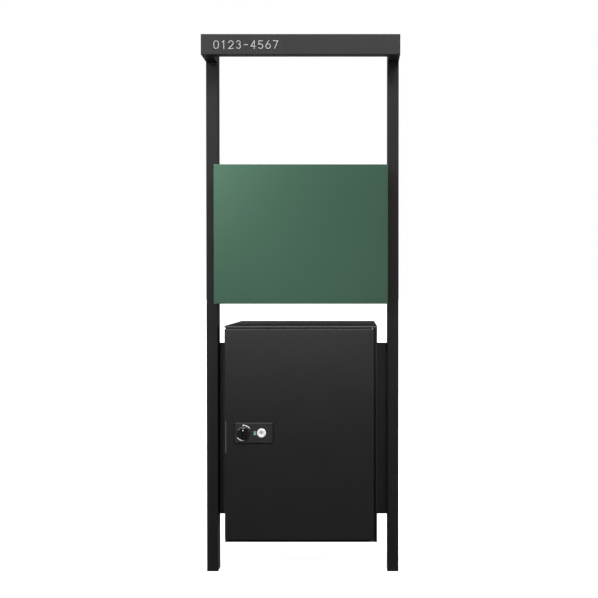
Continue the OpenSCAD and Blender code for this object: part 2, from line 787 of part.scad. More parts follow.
module lock_plate() color(BLACK)
    difference() {
        hull() {
            upright(lock_x0, lock_x1, lock_z - lock_plate_h / 2, lock_z + lock_plate_h / 2, lock_plate_r,
                    front - lock_plate_t / 2, front, $fn = 32);
            upright(lock_x0 + plate_bevel, lock_x1 - plate_bevel, lock_z - lock_plate_h / 2 + plate_bevel,
                    lock_z + lock_plate_h / 2 - plate_bevel, lock_plate_r - 1, plate_y, front, $fn = 32);
        }
        rod_y(knob_x, plate_y - over, front + over, lock_z, spindle_r + run);
        rod_y(key_x, plate_y - over, front + over, lock_z, key_body_r + hold);
        block(window_x - window_w / 2, window_x + window_w / 2, plate_y - over, front + over,
              lock_z - window_h / 2, lock_z + window_h / 2);
    }

// Open-backed case behind the plate, with a boss round the key cylinder
module lock_case() color(STEEL)
    difference() {
        union() {
            difference() {
                block(lock_x0 + case_margin, lock_x1 - case_margin, case_y0, case_y1,
                      lock_z - lock_plate_h / 2 + case_margin, lock_z + lock_plate_h / 2 - case_margin);
                block(lock_x0 + case_margin + case_wall, lock_x1 - case_margin - case_wall,
                      case_y0 + case_wall, case_y1 + over,
                      lock_z - lock_plate_h / 2 + case_margin + case_wall,
                      lock_z + lock_plate_h / 2 - case_margin - case_wall);
            }
            for (x = [knob_x, key_x]) rod_y(x, case_y0, case_y0 + 8, lock_z, key_body_r + case_wall);
        }
        rod_y(knob_x, case_y0 - over, case_y1 + over, lock_z, spindle_r + run);
        rod_y(key_x, case_y0 - over, case_y1 + over, lock_z, key_body_r + hold);
    }

module key_cylinder() color(STEEL)
    difference() {
        union() {
            rod_y(key_x, plate_y - key_rim_h, plate_y, lock_z, key_rim_dia / 2);
            rod_y(key_x, plate_y, case_y1 - 4, lock_z, key_body_r);
        }
        rod_y(key_x, plate_y - key_rim_h - over, case_y1, lock_z, key_plug_r + run);
    }

module indicator_window() color(WHITE)
    block(window_x - window_w / 2 + hold, window_x + window_w / 2 - hold, plate_y + 0.4, front,
          lock_z - window_h / 2 + hold, lock_z + window_h / 2 - hold);

// ---------- parcel box, lock's moving pieces ----------

module lock_knob() color(RUBBER)
    difference() {
        union() {
            rod_y(knob_x, plate_y - free - knob_base_h, plate_y - free, lock_z, knob_dia / 2);
            intersection() {
                rod_y(knob_x, plate_y - knob_h, plate_y - free - knob_base_h, lock_z, knob_dia / 2 - 1);
                block(knob_x - grip_w / 2, knob_x + grip_w / 2,
                      plate_y - knob_h, plate_y - free - knob_base_h,
                      lock_z - knob_dia / 2, lock_z + knob_dia / 2);
            }
        }
        rod_y(knob_x, plate_y - knob_h / 2, plate_y, lock_z, spindle_r + hold);
    }

module knob_spindle() color(STEEL) {
    rod_y(knob_x, plate_y - knob_h / 2 + fit, cam_y0 + cam_t + nut_h, lock_z, spindle_r);
    rod_y(knob_x, cam_y0 + cam_t, cam_y0 + cam_t + nut_h, lock_z, nut_r, 6);
}

// Hangs straight down when open and reaches behind the strike when locked
module lock_cam() color(STEEL)
    difference() {
        upright(knob_x - cam_w / 2, knob_x + cam_w / 2, lock_z - cam_reach, lock_z + cam_w / 2, 4,
                cam_y0, cam_y0 + cam_t);
        rod_y(knob_x, cam_y0 - over, cam_y0 + cam_t + over, lock_z, spindle_r + hold);
    }

module key_plug() color(STEEL)
    difference() {
        rod_y(key_x, plate_y - key_rim_h + 0.4, case_y1 - 2, lock_z, key_plug_r);
        block(key_x - key_slot[0] / 2, key_x + key_slot[0] / 2, plate_y - key_rim_h - over, plate_y + 6,
              lock_z - key_slot[1] / 2, lock_z + key_slot[1] / 2);
    }

module flag(z0)
    block(window_x - flag_w / 2, window_x + flag_w / 2, flag_y0, flag_y0 + flag_t, z0, z0 + window_h);

module indicator_open() color("#4fa79a") flag(lock_z - window_h / 2);
module indicator_locked() color("#b8322a") flag(lock_z - 1.5 * window_h);

post_left();
post_right();
post_top_caps();
post_foot_plugs();
fascia();
fascia_end_caps();
arm_left();
arm_right();
arm_joiners();
arm_screws();
number_characters();
mail_left_wall();
mail_right_wall();
mail_top();
mail_floor();
mail_slot_plate();
mail_guide();
mail_rear_frame();
mail_spacers();
mail_screws();
flap_lugs();
flap_panel();
flap_stiffener();
flap_pins();
flap_bumpers();
rear_door();
rear_door_pins();
rear_door_seal();
rear_lock_body();
rear_lock_turn();
rear_lock_cam();
box_left_wall();
box_right_wall();
box_roof();
box_floor();
box_back();
box_jamb();
floor_mat();
bracket_left();
bracket_right();
bracket_screws();
hinge_bushes();
strike_plate();
door_skin();
door_liner();
door_seal();
door_pins();
door_hinge_blocks();
finger_pull();
lock_plate();
lock_case();
key_cylinder();
indicator_window();
lock_knob();
knob_spindle();
lock_cam();
key_plug();
indicator_open();
indicator_locked();
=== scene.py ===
# %% [markdown]
# # A gate-post unit: name beam, letter box and parcel box
# Two posts stand at a house gate. They carry a beam with the house number, a
# letter box with a green front, and below it a parcel box with a locked door.
# The metalwork already exists as a CAD model, so this file adds the looks:
# rounded sheet edges, turned lock parts, paint, rubber, light and a camera.

# %% Load the frame
import json
import math

import bmesh
import bpy
import numpy as np
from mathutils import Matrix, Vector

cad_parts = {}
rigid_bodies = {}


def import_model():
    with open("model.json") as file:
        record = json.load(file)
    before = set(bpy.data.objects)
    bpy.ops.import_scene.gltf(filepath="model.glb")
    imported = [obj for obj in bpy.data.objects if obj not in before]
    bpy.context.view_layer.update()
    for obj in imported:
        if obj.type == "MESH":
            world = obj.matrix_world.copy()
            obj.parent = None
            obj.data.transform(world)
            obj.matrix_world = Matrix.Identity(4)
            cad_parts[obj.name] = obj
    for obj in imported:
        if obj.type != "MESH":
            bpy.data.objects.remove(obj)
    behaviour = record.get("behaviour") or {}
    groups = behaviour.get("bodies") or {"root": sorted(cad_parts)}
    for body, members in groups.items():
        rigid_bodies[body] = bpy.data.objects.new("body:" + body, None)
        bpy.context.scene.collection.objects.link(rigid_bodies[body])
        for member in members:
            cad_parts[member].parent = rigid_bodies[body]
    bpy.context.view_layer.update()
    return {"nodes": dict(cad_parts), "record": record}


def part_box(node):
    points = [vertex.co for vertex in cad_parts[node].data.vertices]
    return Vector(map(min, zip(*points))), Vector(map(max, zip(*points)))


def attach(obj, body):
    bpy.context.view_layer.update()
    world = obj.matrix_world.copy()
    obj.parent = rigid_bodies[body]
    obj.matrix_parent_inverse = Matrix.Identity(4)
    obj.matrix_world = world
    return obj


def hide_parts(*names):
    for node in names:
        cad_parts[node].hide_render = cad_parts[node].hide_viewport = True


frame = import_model()
MM = 0.001

# %% [markdown]
# ## Reading places from the frame
# Every size below comes from the CAD model's own nodes. A maker would take the
# same sizes from the drawing. Reading them here means that a changed drawing
# changes the looks as well, with nothing to fit by eye.

# %% Corners of a node
def corners(node):
    """Lowest and highest corner of a CAD node, as two arrays in metres."""
    low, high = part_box(node)
    return np.array(low), np.array(high)


FRONT = corners("door_skin")[0][1]
print("front plane at y =", round(FRONT / MM, 2), "mm")

# %% [markdown]
# ## Outlines with round corners
# Folded sheet has no sharp corner: the press leaves a small round one. Each
# outline is therefore drawn with corners first and softened afterwards, as a
# draughtsman adds fillets last. Short braces beside each bend keep the flat
# stretches flat when the surface is shaded smoothly.

# %% Outline helpers
def unit(v):
    """Vectors scaled to length one."""
    return v / np.maximum(np.linalg.norm(v, axis=-1, keepdims=True), 1e-12)


def soften(points, radius, steps=4, closed=False):
    """Rounds an outline's corners. With half-angle h between a corner's sides,
    the arc of radius r has its centre r / sin(h) along their bisector and
    starts r / tan(h) down each side."""
    p = np.asarray(points, float)
    before, after = np.roll(p, 1, 0), np.roll(p, -1, 0)
    inner = slice(None) if closed else slice(1, -1)
    corner, before, after = p[inner], before[inner], after[inner]
    u, v = unit(before - corner), unit(after - corner)
    half = 0.5 * np.arccos(np.clip((u * v).sum(-1), -1, 1))[:, None]
    r = np.broadcast_to(np.atleast_1d(radius).astype(float), len(corner))[:, None]
    centre = corner + unit(u + v) * r / np.sin(half)
    start = corner + u * r / np.tan(half) - centre
    end = corner + v * r / np.tan(half) - centre
    t = np.linspace(0, 1, steps + 1)
    turn = np.pi - 2 * half
    weights = np.stack([np.sin((1 - t) * turn), np.sin(t * turn)], -1) / np.sin(turn)[..., None]
    arcs = weights[..., :1] * start[:, None] + weights[..., 1:] * end[:, None]
    curve = (centre[:, None] + arcs).reshape(-1, 2)
    return curve if closed else np.vstack([p[:1], curve, p[-1:]])


def brace(points, closed=False, margin=0.8 * MM):
    """Adds a point a margin inside both ends of every straight that is longer
    than three margins: p + margin * direction and q - margin * direction."""
    p = np.asarray(points, float)
    q = np.roll(p, -1, 0)
    length = np.linalg.norm(q - p, axis=1)
    long = length > 3 * margin
    if not closed:
        long[-1] = False
    step = unit(q - p) * margin
    trio = np.stack([p, p + step, q - step], 1)
    return trio[np.stack([np.ones_like(long), long, long], 1)]


def bent_sheet(path, thickness, radius, steps=5):
    """Outline of a folded sheet: the middle line with round bends, moved half
    the thickness along its normal to either side."""
    line = soften(path, radius, steps)
    along = unit(np.gradient(line, axis=0))
    side = np.stack([-along[:, 1], along[:, 0]], 1) * thickness / 2
    return brace(np.concatenate([line + side, (line - side)[::-1]]), closed=True)


print("a softened square has", len(soften([(0, 0), (1, 0), (1, 1), (0, 1)], 0.1, closed=True)), "points")

# %% [markdown]
# ## Surfaces from rings
# Almost every piece here is a stack of rings: a tube, a tray, a turned knob or
# a seal is one outline carried along a path while it grows or shrinks. One
# function joins rings to a surface, so each piece is only its own formula.

# %% Rings to surfaces
def in_axes(a, b, c, order):
    """Stacks three arrays as x, y, z, where order names the axis of each."""
    placed = dict(zip(order, np.broadcast_arrays(a, b, c)))
    return np.stack([placed["x"], placed["y"], placed["z"]], -1)


def rings(grid, closed=False):
    """Quads between each ring and the next. A closed stack comes back to its
    first ring; an open one gets a flat cap at both ends."""
    rows, count = grid.shape[:2]
    k, j = np.meshgrid(np.arange(rows if closed else rows - 1), np.arange(count), indexing="ij")
    k2, j2 = (k + 1) % rows, (j + 1) % count
    quads = np.stack([k * count + j, k * count + j2, k2 * count + j2, k2 * count + j], -1)
    caps = [] if closed else [np.arange(count), (rows - 1) * count + np.arange(count)]
    return grid.reshape(-1, 3), quads.reshape(-1, 4), caps


def ring_stack(rect, profile, corner, order="xzy", steps=4, margin=0.8 * MM):
    """Round-cornered rectangles, one for each (inset, depth) of the profile.
    A corner's points are centre + r * (cos t, sin t), and r shrinks with the
    inset so that the corners stay concentric."""
    inset, depth = np.asarray(profile, float).T[:, :, None]
    a0, a1, b0, b1 = rect
    share = np.concatenate([[0], np.linspace(0, 1, steps + 1), [1]])
    slide = np.tile(np.concatenate([[-margin], np.zeros(steps + 1), [margin]]), 4)
    quarter = np.arange(4).repeat(steps + 3)
    angle = (quarter + np.tile(share, 4)) * math.pi / 2
    right, upper = np.isin(quarter, [0, 3]), quarter < 2
    r = np.maximum(corner - inset, 1e-7)
    off = inset + r
    a = np.where(right, a1 - off, a0 + off) + r * np.cos(angle) - slide * np.sin(angle)
    b = np.where(upper, b1 - off, b0 + off) + r * np.sin(angle) + slide * np.cos(angle)
    return in_axes(a, b, depth + 0 * a, order)


def raised(outline, profile, order):
    """Any outline stacked along a profile: ring = outline - normal * inset."""
    p = np.asarray(outline, float)
    area = (p[:, 0] * np.roll(p[:, 1], -1) - np.roll(p[:, 0], -1) * p[:, 1]).sum()
    along = unit(np.roll(p, -1, 0) - np.roll(p, 1, 0)) * np.sign(area)
    normal = np.stack([along[:, 1], -along[:, 0]], 1)
    inset, depth = np.asarray(profile, float).T
    moved = p[None] - normal[None] * inset[:, None, None]
    return rings(in_axes(moved[..., 0], moved[..., 1], depth[:, None] + 0 * moved[..., 0], order))


def turned(profile, centre, order, closed=False, steps=48):
    """A lathe part: each (radius, position) goes once round the axis, to
    centre + radius * (cos t, sin t)."""
    radius, position = np.asarray(profile, float).T[:, :, None]
    t = np.linspace(0, 2 * math.pi, steps, endpoint=False)
    a, b = centre[0] + radius * np.cos(t), centre[1] + radius * np.sin(t)
    return rings(in_axes(a, b, position + 0 * a, order), closed)


# %% Plates, trays, tubes and prisms
AROUND = {"x": "yzx", "y": "xzy", "z": "xyz"}


def faces_of(low, high, across):
    """The rectangle seen along an axis, and the two depths along it."""
    i, j, k = ("xyz".index(letter) for letter in AROUND[across])
    return (low[i], high[i], low[j], high[j]), low[k], high[k]


def slab(low, high, across, edge=0.4 * MM, corner=0.8 * MM):
    """A plate whose edges turn through a quarter circle on both faces."""
    rect, start, stop = faces_of(low, high, across)
    flat = edge + 1 * MM
    profile = brace(soften([(flat, start), (0, start), (0, stop), (flat, stop)], edge, 3))
    return rings(ring_stack(rect, profile, corner, AROUND[across]))


def tray(low, high, across, face, wall, fold=1.2 * MM, corner=1 * MM):
    """A folded tray, closed on its face: down the outside, over the rim and
    back up the inside, one wall thickness further in. face is 0 where the
    closed side is at the low end of the axis, and 1 at the high end."""
    rect, start, stop = faces_of(low, high, across)
    if face:
        start, stop = stop, start
    inward = math.copysign(wall, stop - start)
    deep, rim = wall + 3 * MM, 0.3 * MM
    outside = [(deep, start), (0, start), (0, stop)]
    inside = [(wall, stop), (wall, start + inward), (deep, start + inward)]
    profile = brace(soften(outside + inside, [fold, rim, rim, rim], 4))
    return rings(ring_stack(rect, profile, corner, AROUND[across]))


def tube(low, high, along, wall, corner=1.2 * MM, edge=0.3 * MM):
    """A rectangular tube: a closed profile of outer side, end, inner side and
    other end, carried round the rectangle."""
    rect, start, stop = faces_of(low, high, along)
    line = [(0, start), (0, stop), (wall, stop), (wall, start)]
    profile = brace(soften(line, edge, 2, closed=True), closed=True)
    return rings(ring_stack(rect, profile, corner, AROUND[along]), closed=True)


def prism(outline, order, start, stop, edge=0.25 * MM):
    """An outline carried straight from start to stop, its ends chamfered."""
    profile = [(edge, start), (0, start + edge), (0, stop - edge), (edge, stop)]
    return raised(outline, profile, order)


# %% [markdown]
# ## Putting a piece into the scene
# A mesh made by formula may have doubled points at poles and sharp corners.
# They are merged, the faces are turned outwards, and edges steeper than a
# bend's facets are marked sharp. Each piece then rides on the body of the CAD
# node that it stands for, and takes that node's finish.

# %% Piece helpers
SHARP = math.radians(38)


def settle(mesh):
    """Merges doubles, points the faces outwards and marks the steep edges."""
    work = bmesh.new()
    work.from_mesh(mesh)
    bmesh.ops.remove_doubles(work, verts=work.verts, dist=2e-6)
    bmesh.ops.recalc_face_normals(work, faces=work.faces)
    work.to_mesh(mesh)
    work.free()
    mesh.polygons.foreach_set("use_smooth", np.ones(len(mesh.polygons), bool))
    mesh.set_sharp_from_angle(angle=SHARP)


def put_in(name, shapes):
    """One object from several shapes, each (points, quads, caps)."""
    starts = np.cumsum([0] + [len(s[0]) for s in shapes[:-1]])
    mesh = bpy.data.meshes.new(name)
    faces = [f for s, start in zip(shapes, starts) for f in (s[1] + start).tolist()]
    faces += [(cap + start).tolist() for s, start in zip(shapes, starts) for cap in s[2]]
    mesh.from_pydata(np.concatenate([s[0] for s in shapes]).tolist(), [], faces)
    settle(mesh)
    thing = bpy.data.objects.new(name, mesh)
    bpy.context.scene.collection.objects.link(thing)
    return thing


def cut(thing, tools):
    """Takes the tools' solids out of a thing, as a punch or a drill would."""
    punch = put_in("punch", tools)
    change = thing.modifiers.new("cut", "BOOLEAN")
    change.solver, change.object = "EXACT", punch
    seen = thing.evaluated_get(bpy.context.evaluated_depsgraph_get())
    mesh = bpy.data.meshes.new_from_object(seen)
    thing.modifiers.clear()
    thing.data = mesh
    bpy.data.objects.remove(punch)
    settle(mesh)


home = {n: b for b, members in frame["record"]["behaviour"]["bodies"].items() for n in members}
slot_of = {n: thing.data.materials[0].name for n, thing in frame["nodes"].items()}
stood_for = set()


def make(name, shapes, nodes, cuts=()):
    """A finished piece that stands for CAD nodes of one body."""
    thing = put_in(name, shapes)
    if cuts:
        cut(thing, list(cuts))
    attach(thing, home[nodes[0]])
    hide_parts(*nodes)
    thing["finish"] = slot_of[nodes[0]]
    stood_for.update(nodes)
    print(f"{name}: {len(thing.data.polygons)} faces")
    return thing


def add(name, shapes, body, finish):
    """A small piece of its own that no CAD node stands for."""
    thing = put_in(name, shapes)
    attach(thing, body)
    thing["finish"] = finish
    print(f"{name}: {len(thing.data.polygons)} faces")
    return thing


# %% [markdown]
# ## Posts and name beam
# The posts are aluminium tubes with small outer corners, closed by plates at
# the top. A box-section beam stands in front of them on two short arms. Tubes
# could be boxes with a bevel, but a real wall shows wherever an end is open,
# so each is made as an outside and an inside.

# %% Posts and caps
TUBE_WALL = 2 * MM
for side in ("left", "right"):
    low, high = corners(f"post_{side}")
    post = make(f"{side}_post_tube", [tube(low, high, "z", TUBE_WALL)], [f"post_{side}"])
    # The posts take a darker copy of the black coat: painted shade, for the shade that falls on them.
    post["finish"] = "post_black_painted_shade"
    low, high = corners(f"arm_{side}")
    make(f"{side}_arm_tube", [tube(low, high, "y", TUBE_WALL, corner=1.5 * MM)], [f"arm_{side}"])


def both_sides(shapes):
    """The shapes, then the same on the other side with x changed in sign."""
    flip = np.array([-1, 1, 1])
    return shapes + [(points * flip, quads, caps) for points, quads, caps in shapes]


CAP = 2 * MM
low, high = corners("post_top_caps")
post_w = corners("post_right")[1][0] - corners("post_right")[0][0]
right_low = np.array([high[0] - post_w, low[1], high[2] - CAP])
LIP_IN = TUBE_WALL + 0.2 * MM
lip_in = np.array([LIP_IN, LIP_IN, 0])
cover = slab(right_low, high, "z", edge=0.9 * MM, corner=1.4 * MM)
lip = slab(np.array([right_low[0], low[1], low[2]]) + lip_in,
           np.array([high[0], high[1], right_low[2] + 0.2 * MM]) - lip_in, "z", edge=0.5 * MM)
make("post_cap_plates", both_sides([cover, lip]), ["post_top_caps"])

# %% Name beam
low, high = corners("fascia")
make("beam_tube", [tube(low, high, "x", TUBE_WALL, corner=1.3 * MM)], ["fascia"])
low, high = corners("fascia_end_caps")
cap_low = np.array([high[0] - CAP, low[1], low[2]])
plate = slab(cap_low, high, "x", edge=0.7 * MM, corner=1.5 * MM)
lip_low = np.array([cap_low[0] - 10 * MM, low[1] + LIP_IN, low[2] + LIP_IN])
lip_high = np.array([cap_low[0] + 0.2 * MM, high[1] - LIP_IN, high[2] - LIP_IN])
lip = slab(lip_low, lip_high, "x", edge=0.6 * MM, corner=1.5 * MM)
make("beam_end_plates", both_sides([plate, lip]), ["fascia_end_caps"])

# %% [markdown]
# ## Screws
# Dome-head screws with a hexagon socket hold the arms, brackets and letter
# box. A screw is one stack of rings: the socket's rings are hexagons, the head
# is a quarter ellipse, and the thread is a cylinder whose radius swings with
# height and angle together, which makes it a true helix.

# %% One screw as rings
HEAD_R, HEAD_H, SHANK_R = 4.5 * MM, 2.8 * MM, 2.5 * MM
SOCKET_R, SOCKET_FLOOR = 1.38 * MM, 1.2 * MM
THREAD_PITCH, THREAD_DEPTH, THREAD_LENGTH = 0.8 * MM, 0.16 * MM, 9 * MM


def screw(seat, axis, sign, length):
    """A screw on a seat. Hexagon radius = a / cos((t mod 60 deg) - 30 deg),
    and thread radius = r + d * cos(2 pi h / pitch - t)."""
    t = np.linspace(0, 2 * math.pi, 32, endpoint=False)[None]
    hexagon = 1 / np.cos(t % (math.pi / 3) - math.pi / 6)
    a = np.linspace(0, math.pi / 2, 6)[:, None]
    plain = max(length - THREAD_LENGTH, 0)
    down = -np.linspace(plain + 0.3 * MM, length - 0.5 * MM, 44)[:, None]
    thread = SHANK_R - THREAD_DEPTH + THREAD_DEPTH * np.cos(2 * math.pi * down / THREAD_PITCH - t)
    stack = [(SOCKET_R * hexagon, SOCKET_FLOOR), (SOCKET_R * hexagon, 2.6 * MM), (1.8 * MM, HEAD_H),
             ((2.6 + 1.9 * np.sin(a)) * MM, (0.5 + 2.3 * np.cos(a)) * MM),
             (HEAD_R, 0.2 * MM), (4.3 * MM, 0), (SHANK_R, 0), (thread, down),
             (2.1 * MM, -length + 0.2 * MM), (1.8 * MM, -length)]
    radius = np.concatenate([r + 0 * t for r, _ in stack])
    height = np.concatenate([h + 0 * t for _, h in stack])
    i, j, k = ("xyz".index(letter) for letter in AROUND[axis])
    return rings(in_axes(seat[i] + radius * np.cos(t), seat[j] + radius * np.sin(t),
                         seat[k] + sign * height, AROUND[axis]))


# %% Rows of screws
SIDES = (-1, 1)
BRACKET, BRACKET_SCREW = 3 * MM, 9 * MM
low, high = corners("arm_screws")
arm_x, arm_seat = high[0] - HEAD_R, high[1] - HEAD_H
arm_z = [low[2] + HEAD_R, high[2] - HEAD_R]
make("arm_dome_screws",
     [screw((s * arm_x, arm_seat, z), "y", 1, arm_seat - low[1]) for s in SIDES for z in arm_z],
     ["arm_screws"])
low, high = corners("bracket_screws")
plate_seat = corners("post_left")[1][1] + BRACKET
leg_seat = corners("box_roof")[1][0] + BRACKET
bracket_z = [low[2] + HEAD_R, (low[2] + high[2]) / 2, high[2] - HEAD_R]
leg_y = high[1] - HEAD_R
make("bracket_dome_screws",
     [screw((s * arm_x, plate_seat, z), "y", 1, BRACKET_SCREW) for s in SIDES for z in bracket_z]
     + [screw((s * leg_seat, leg_y, z), "x", s, BRACKET_SCREW) for s in SIDES for z in bracket_z],
     ["bracket_screws"])
low, high = corners("mail_screws")
mail_seat = corners("mail_slot_plate")[1][0]
mail_z = [low[2] + HEAD_R, high[2] - HEAD_R]
mail_y = (low[1] + high[1]) / 2
make("letter_box_screws",
     [screw((s * mail_seat, mail_y, z), "x", -s, high[0] - mail_seat) for s in SIDES for z in mail_z],
     ["mail_screws"])

# %% [markdown]
# ## Letter box shell
# The letter box is folded from 1.5 mm sheet: two sides, a top, a floor, a
# plate with the letter slot, a baffle behind it and a stop frame at the back.
# Each sheet is a thin slab with rolled edges. The slot is punched after the
# sheet is made, which is also how the workshop does it.

# %% Sheets of the letter box
SHEET = 1.5 * MM
for side in ("left", "right"):
    make(f"{side}_letter_side", [slab(*corners(f"mail_{side}_wall"), "x")], [f"mail_{side}_wall"])


def drill(centre, radius, start, stop, order="xzy", steps=48):
    """A round cutter along the last axis of the order."""
    return turned([(radius, start), (radius, stop)], centre, order, steps=steps)


SCREW_ROOM, PIN_ROOM = 2.65 * MM, 2.6 * MM
pin_low, pin_high = corners("rear_door_pins")
rear_pin = (pin_low[:2] + pin_high[:2]) / 2
for node in ("mail_top", "mail_floor"):
    low, high = corners(node)
    make(f"letter_box_{node[5:]}", [slab(low, high, "z")], [node],
         [drill(rear_pin, PIN_ROOM, low[2] - 1 * MM, high[2] + 1 * MM, "xyz", 32)])

SLOT_HALF, SLOT_HEIGHT, SLOT_CORNER, TRIM = 190 * MM, 46 * MM, 4 * MM, 0.8 * MM
low, high = corners("mail_slot_plate")
slot_top = corners("flap_panel")[1][2] - 42 * MM
slot_rect = (-SLOT_HALF, SLOT_HALF, slot_top - SLOT_HEIGHT, slot_top)
slot_tool = rings(ring_stack(slot_rect, [(0, low[1] - 2 * MM), (0, high[1] + 2 * MM)], SLOT_CORNER))
make("slot_sheet", [slab(low, high, "y")], ["mail_slot_plate"], [slot_tool])
lip_line = soften([(-1.6 * MM, low[1] - TRIM), (0.6 * MM, low[1] - TRIM),
                   (0.6 * MM, high[1] + TRIM), (-1.6 * MM, high[1] + TRIM)], 0.3 * MM, 3, closed=True)
add("slot_edge_trim", [rings(ring_stack(slot_rect, lip_line, SLOT_CORNER), closed=True)],
    "unit_frame", "rubber_black")

BAFFLE_RUN, BAFFLE_TILT = 45.2 * MM, math.radians(28)
low, high = corners("mail_guide")
top_y, knee = low[1] + SHEET / 2, high[2] - 16 * MM
path = [(top_y, high[2]), (top_y, knee),
        (top_y + BAFFLE_RUN * math.cos(BAFFLE_TILT), knee - BAFFLE_RUN * math.sin(BAFFLE_TILT))]
make("letter_baffle", [prism(bent_sheet(path, SHEET, 2 * MM), "yzx", low[0], high[0])], ["mail_guide"])
make("rear_stop_frame", [tube(*corners("mail_rear_frame"), "y", 17 * MM, corner=0.5 * MM)],
     ["mail_rear_frame"])

WASHER_R = 8 * MM
low, high = corners("mail_spacers")
inner = corners("mail_left_wall")[0][0]
washer = soften([(SCREW_ROOM, low[0]), (WASHER_R, low[0]), (WASHER_R, inner), (SCREW_ROOM, inner)],
                0.4 * MM, 3, closed=True)
make("side_washers", both_sides([turned(washer, (mail_y, z), "yzx", closed=True) for z in mail_z]),
     ["mail_spacers"])

# %% [markdown]
# ## The green front panel
# The letter box's front is one tray of folded sheet that swings up on two pins.
# A tray could be a cube with its back pushed in, but then every fold would be
# as thin as the next; carried round as a profile it keeps one wall thickness
# and one bend radius all the way round.

# %% Panel, stiffener, pins and bumpers
low, high = corners("flap_panel")
lug_high = corners("flap_lugs")[1]
lug_x, notch_half = lug_high[0] - 2 * MM, 3.5 * MM
notch = slab(np.array([lug_x - notch_half, low[1] + SHEET, high[2] - 2 * SHEET]),
             np.array([lug_x + notch_half, high[1] + 1 * MM, high[2] + 1 * MM]), "z", 0.2 * MM, 0.5 * MM)
make("green_panel", [tray(low, high, "y", 0, SHEET, fold=1 * MM)], ["flap_panel"], both_sides([notch]))
make("panel_stiffener", [slab(*corners("flap_stiffener"), "y", edge=1.2 * MM, corner=2 * MM)],
     ["flap_stiffener"])
low, high = corners("flap_pins")
pin_start = lug_high[0] - 6 * MM
r = (high[2] - low[2]) / 2
pin_line = soften([(r * 0.5, pin_start), (r, pin_start), (r, high[0]), (r * 0.5, high[0])], 0.4 * MM, 3)
pin = turned(brace(pin_line), ((low[1] + high[1]) / 2, (low[2] + high[2]) / 2), "yzx", steps=32)
make("panel_pins", both_sides([pin]), ["flap_pins"])
low, high = corners("flap_bumpers")
bumper_r = 5 * MM
dome = soften([(1.5 * MM, low[1]), (bumper_r, low[1]), (4.6 * MM, high[1]), (1.5 * MM, high[1])], 1.1 * MM, 4)
bumper = turned(dome, (high[0] - bumper_r, (low[2] + high[2]) / 2), "xzy")
make("panel_bumpers", both_sides([bumper]), ["flap_bumpers"])

# %% [markdown]
# ## Rear door of the letter box
# The owner opens the back: another folded tray on two upright pins, with a
# rubber seal and a small round lock. The lock's body and its thumb turn are
# turned parts, so they are worked out as a profile round an axis.

# %% Rear door, pins and seal
low, high = corners("rear_door")
make("rear_tray", [tray(low, high, "y", 1, SHEET)], ["rear_door"])
for name, node, leaf, hold in (("rear_hinge_pins", "rear_door_pins", "rear_door", 18 * MM),
                               ("door_hinge_pins", "door_pins", "door_skin", 24 * MM)):
    low, high = corners(node)
    leaf_low, leaf_high = corners(leaf)
    r = (high[0] - low[0]) / 2
    spans = [(low[2], leaf_low[2] + hold), (leaf_high[2] - hold, high[2])]
    lines = [brace(soften([(r * 0.6, a), (r, a), (r, b), (r * 0.6, b)], 0.5 * MM, 3)) for a, b in spans]
    make(name, [turned(line, (low[0] + r, low[1] + r), "xyz", steps=32) for line in lines], [node])

SEAL_BAR, SEAL_ROUND = 5 * MM, 1.2 * MM
low, high = corners("rear_door_seal")
top_in = high[2] - SEAL_BAR
top_line = soften([(low[1], top_in), (high[1], top_in), (high[1], high[2]), (low[1], high[2])],
                  SEAL_ROUND, 4, closed=True)
top = raised(top_line, [(0.4 * MM, low[0]), (0, low[0] + 0.4 * MM), (0, high[0])], "yzx")
bottom = (top[0] - np.array([0, 0, top_in - low[2]]), top[1], top[2])
side_in = high[0] - SEAL_BAR
side_line = soften([(side_in, low[1]), (high[0], low[1]), (high[0], high[1]), (side_in, high[1])],
                   SEAL_ROUND, 4, closed=True)
upright = raised(side_line, [(0, low[2]), (0, high[2])], "xyz")
make("rear_seal", [top, bottom, upright], ["rear_door_seal"])

# %% Rear lock
low, high = corners("rear_lock_body")
centre = ((low[0] + high[0]) / 2, (low[2] + high[2]) / 2)
rim, BORE, FLANGE = high[1], 5.05 * MM, 12 * MM
body_line = soften([(BORE, low[1]), (9 * MM, low[1]), (9 * MM, rim - 2 * MM), (FLANGE, rim - 2 * MM),
                    (FLANGE, rim), (BORE, rim)],
                   [0.3 * MM, 0.4 * MM, 0.2 * MM, 0.2 * MM, 0.8 * MM, 0.3 * MM], 3, closed=True)
make("rear_lock_barrel", [turned(brace(body_line, True), centre, "xzy", closed=True)], ["rear_lock_body"])
low, high = corners("rear_lock_turn")
disc = soften([(2 * MM, low[1]), (5 * MM, low[1]), (5 * MM, rim + 0.3 * MM), (8 * MM, rim + 0.3 * MM),
               (8 * MM, rim + 4 * MM), (3 * MM, rim + 4 * MM)], [0.5 * MM, 0.1 * MM, 0.3 * MM, 0.9 * MM], 4)
grip_rect = (centre[0] - 2.5 * MM, centre[0] + 2.5 * MM, centre[1] - 8 * MM, centre[1] + 8 * MM)
grip_line = soften([(0, rim + 3.5 * MM), (0, high[1]), (2.2 * MM, high[1])], 1.2 * MM, 5)
grip = rings(ring_stack(grip_rect, brace(grip_line), 2.2 * MM, steps=6, margin=0.1 * MM))
make("rear_thumb_turn", [turned(brace(disc), centre, "xzy"), grip], ["rear_lock_turn"])


def lever(name, node, hub, hole, corner):
    """A flat cam: a rounded bar with a hole where it sits on its spindle."""
    low, high = corners(node)
    make(name, [slab(low, high, "y", edge=0.4 * MM, corner=corner)], [node],
         [drill(hub, hole, low[1] - 1 * MM, high[1] + 1 * MM, steps=32)])


lever("rear_lever", "rear_lock_cam", centre, 5.02 * MM, 5 * MM)

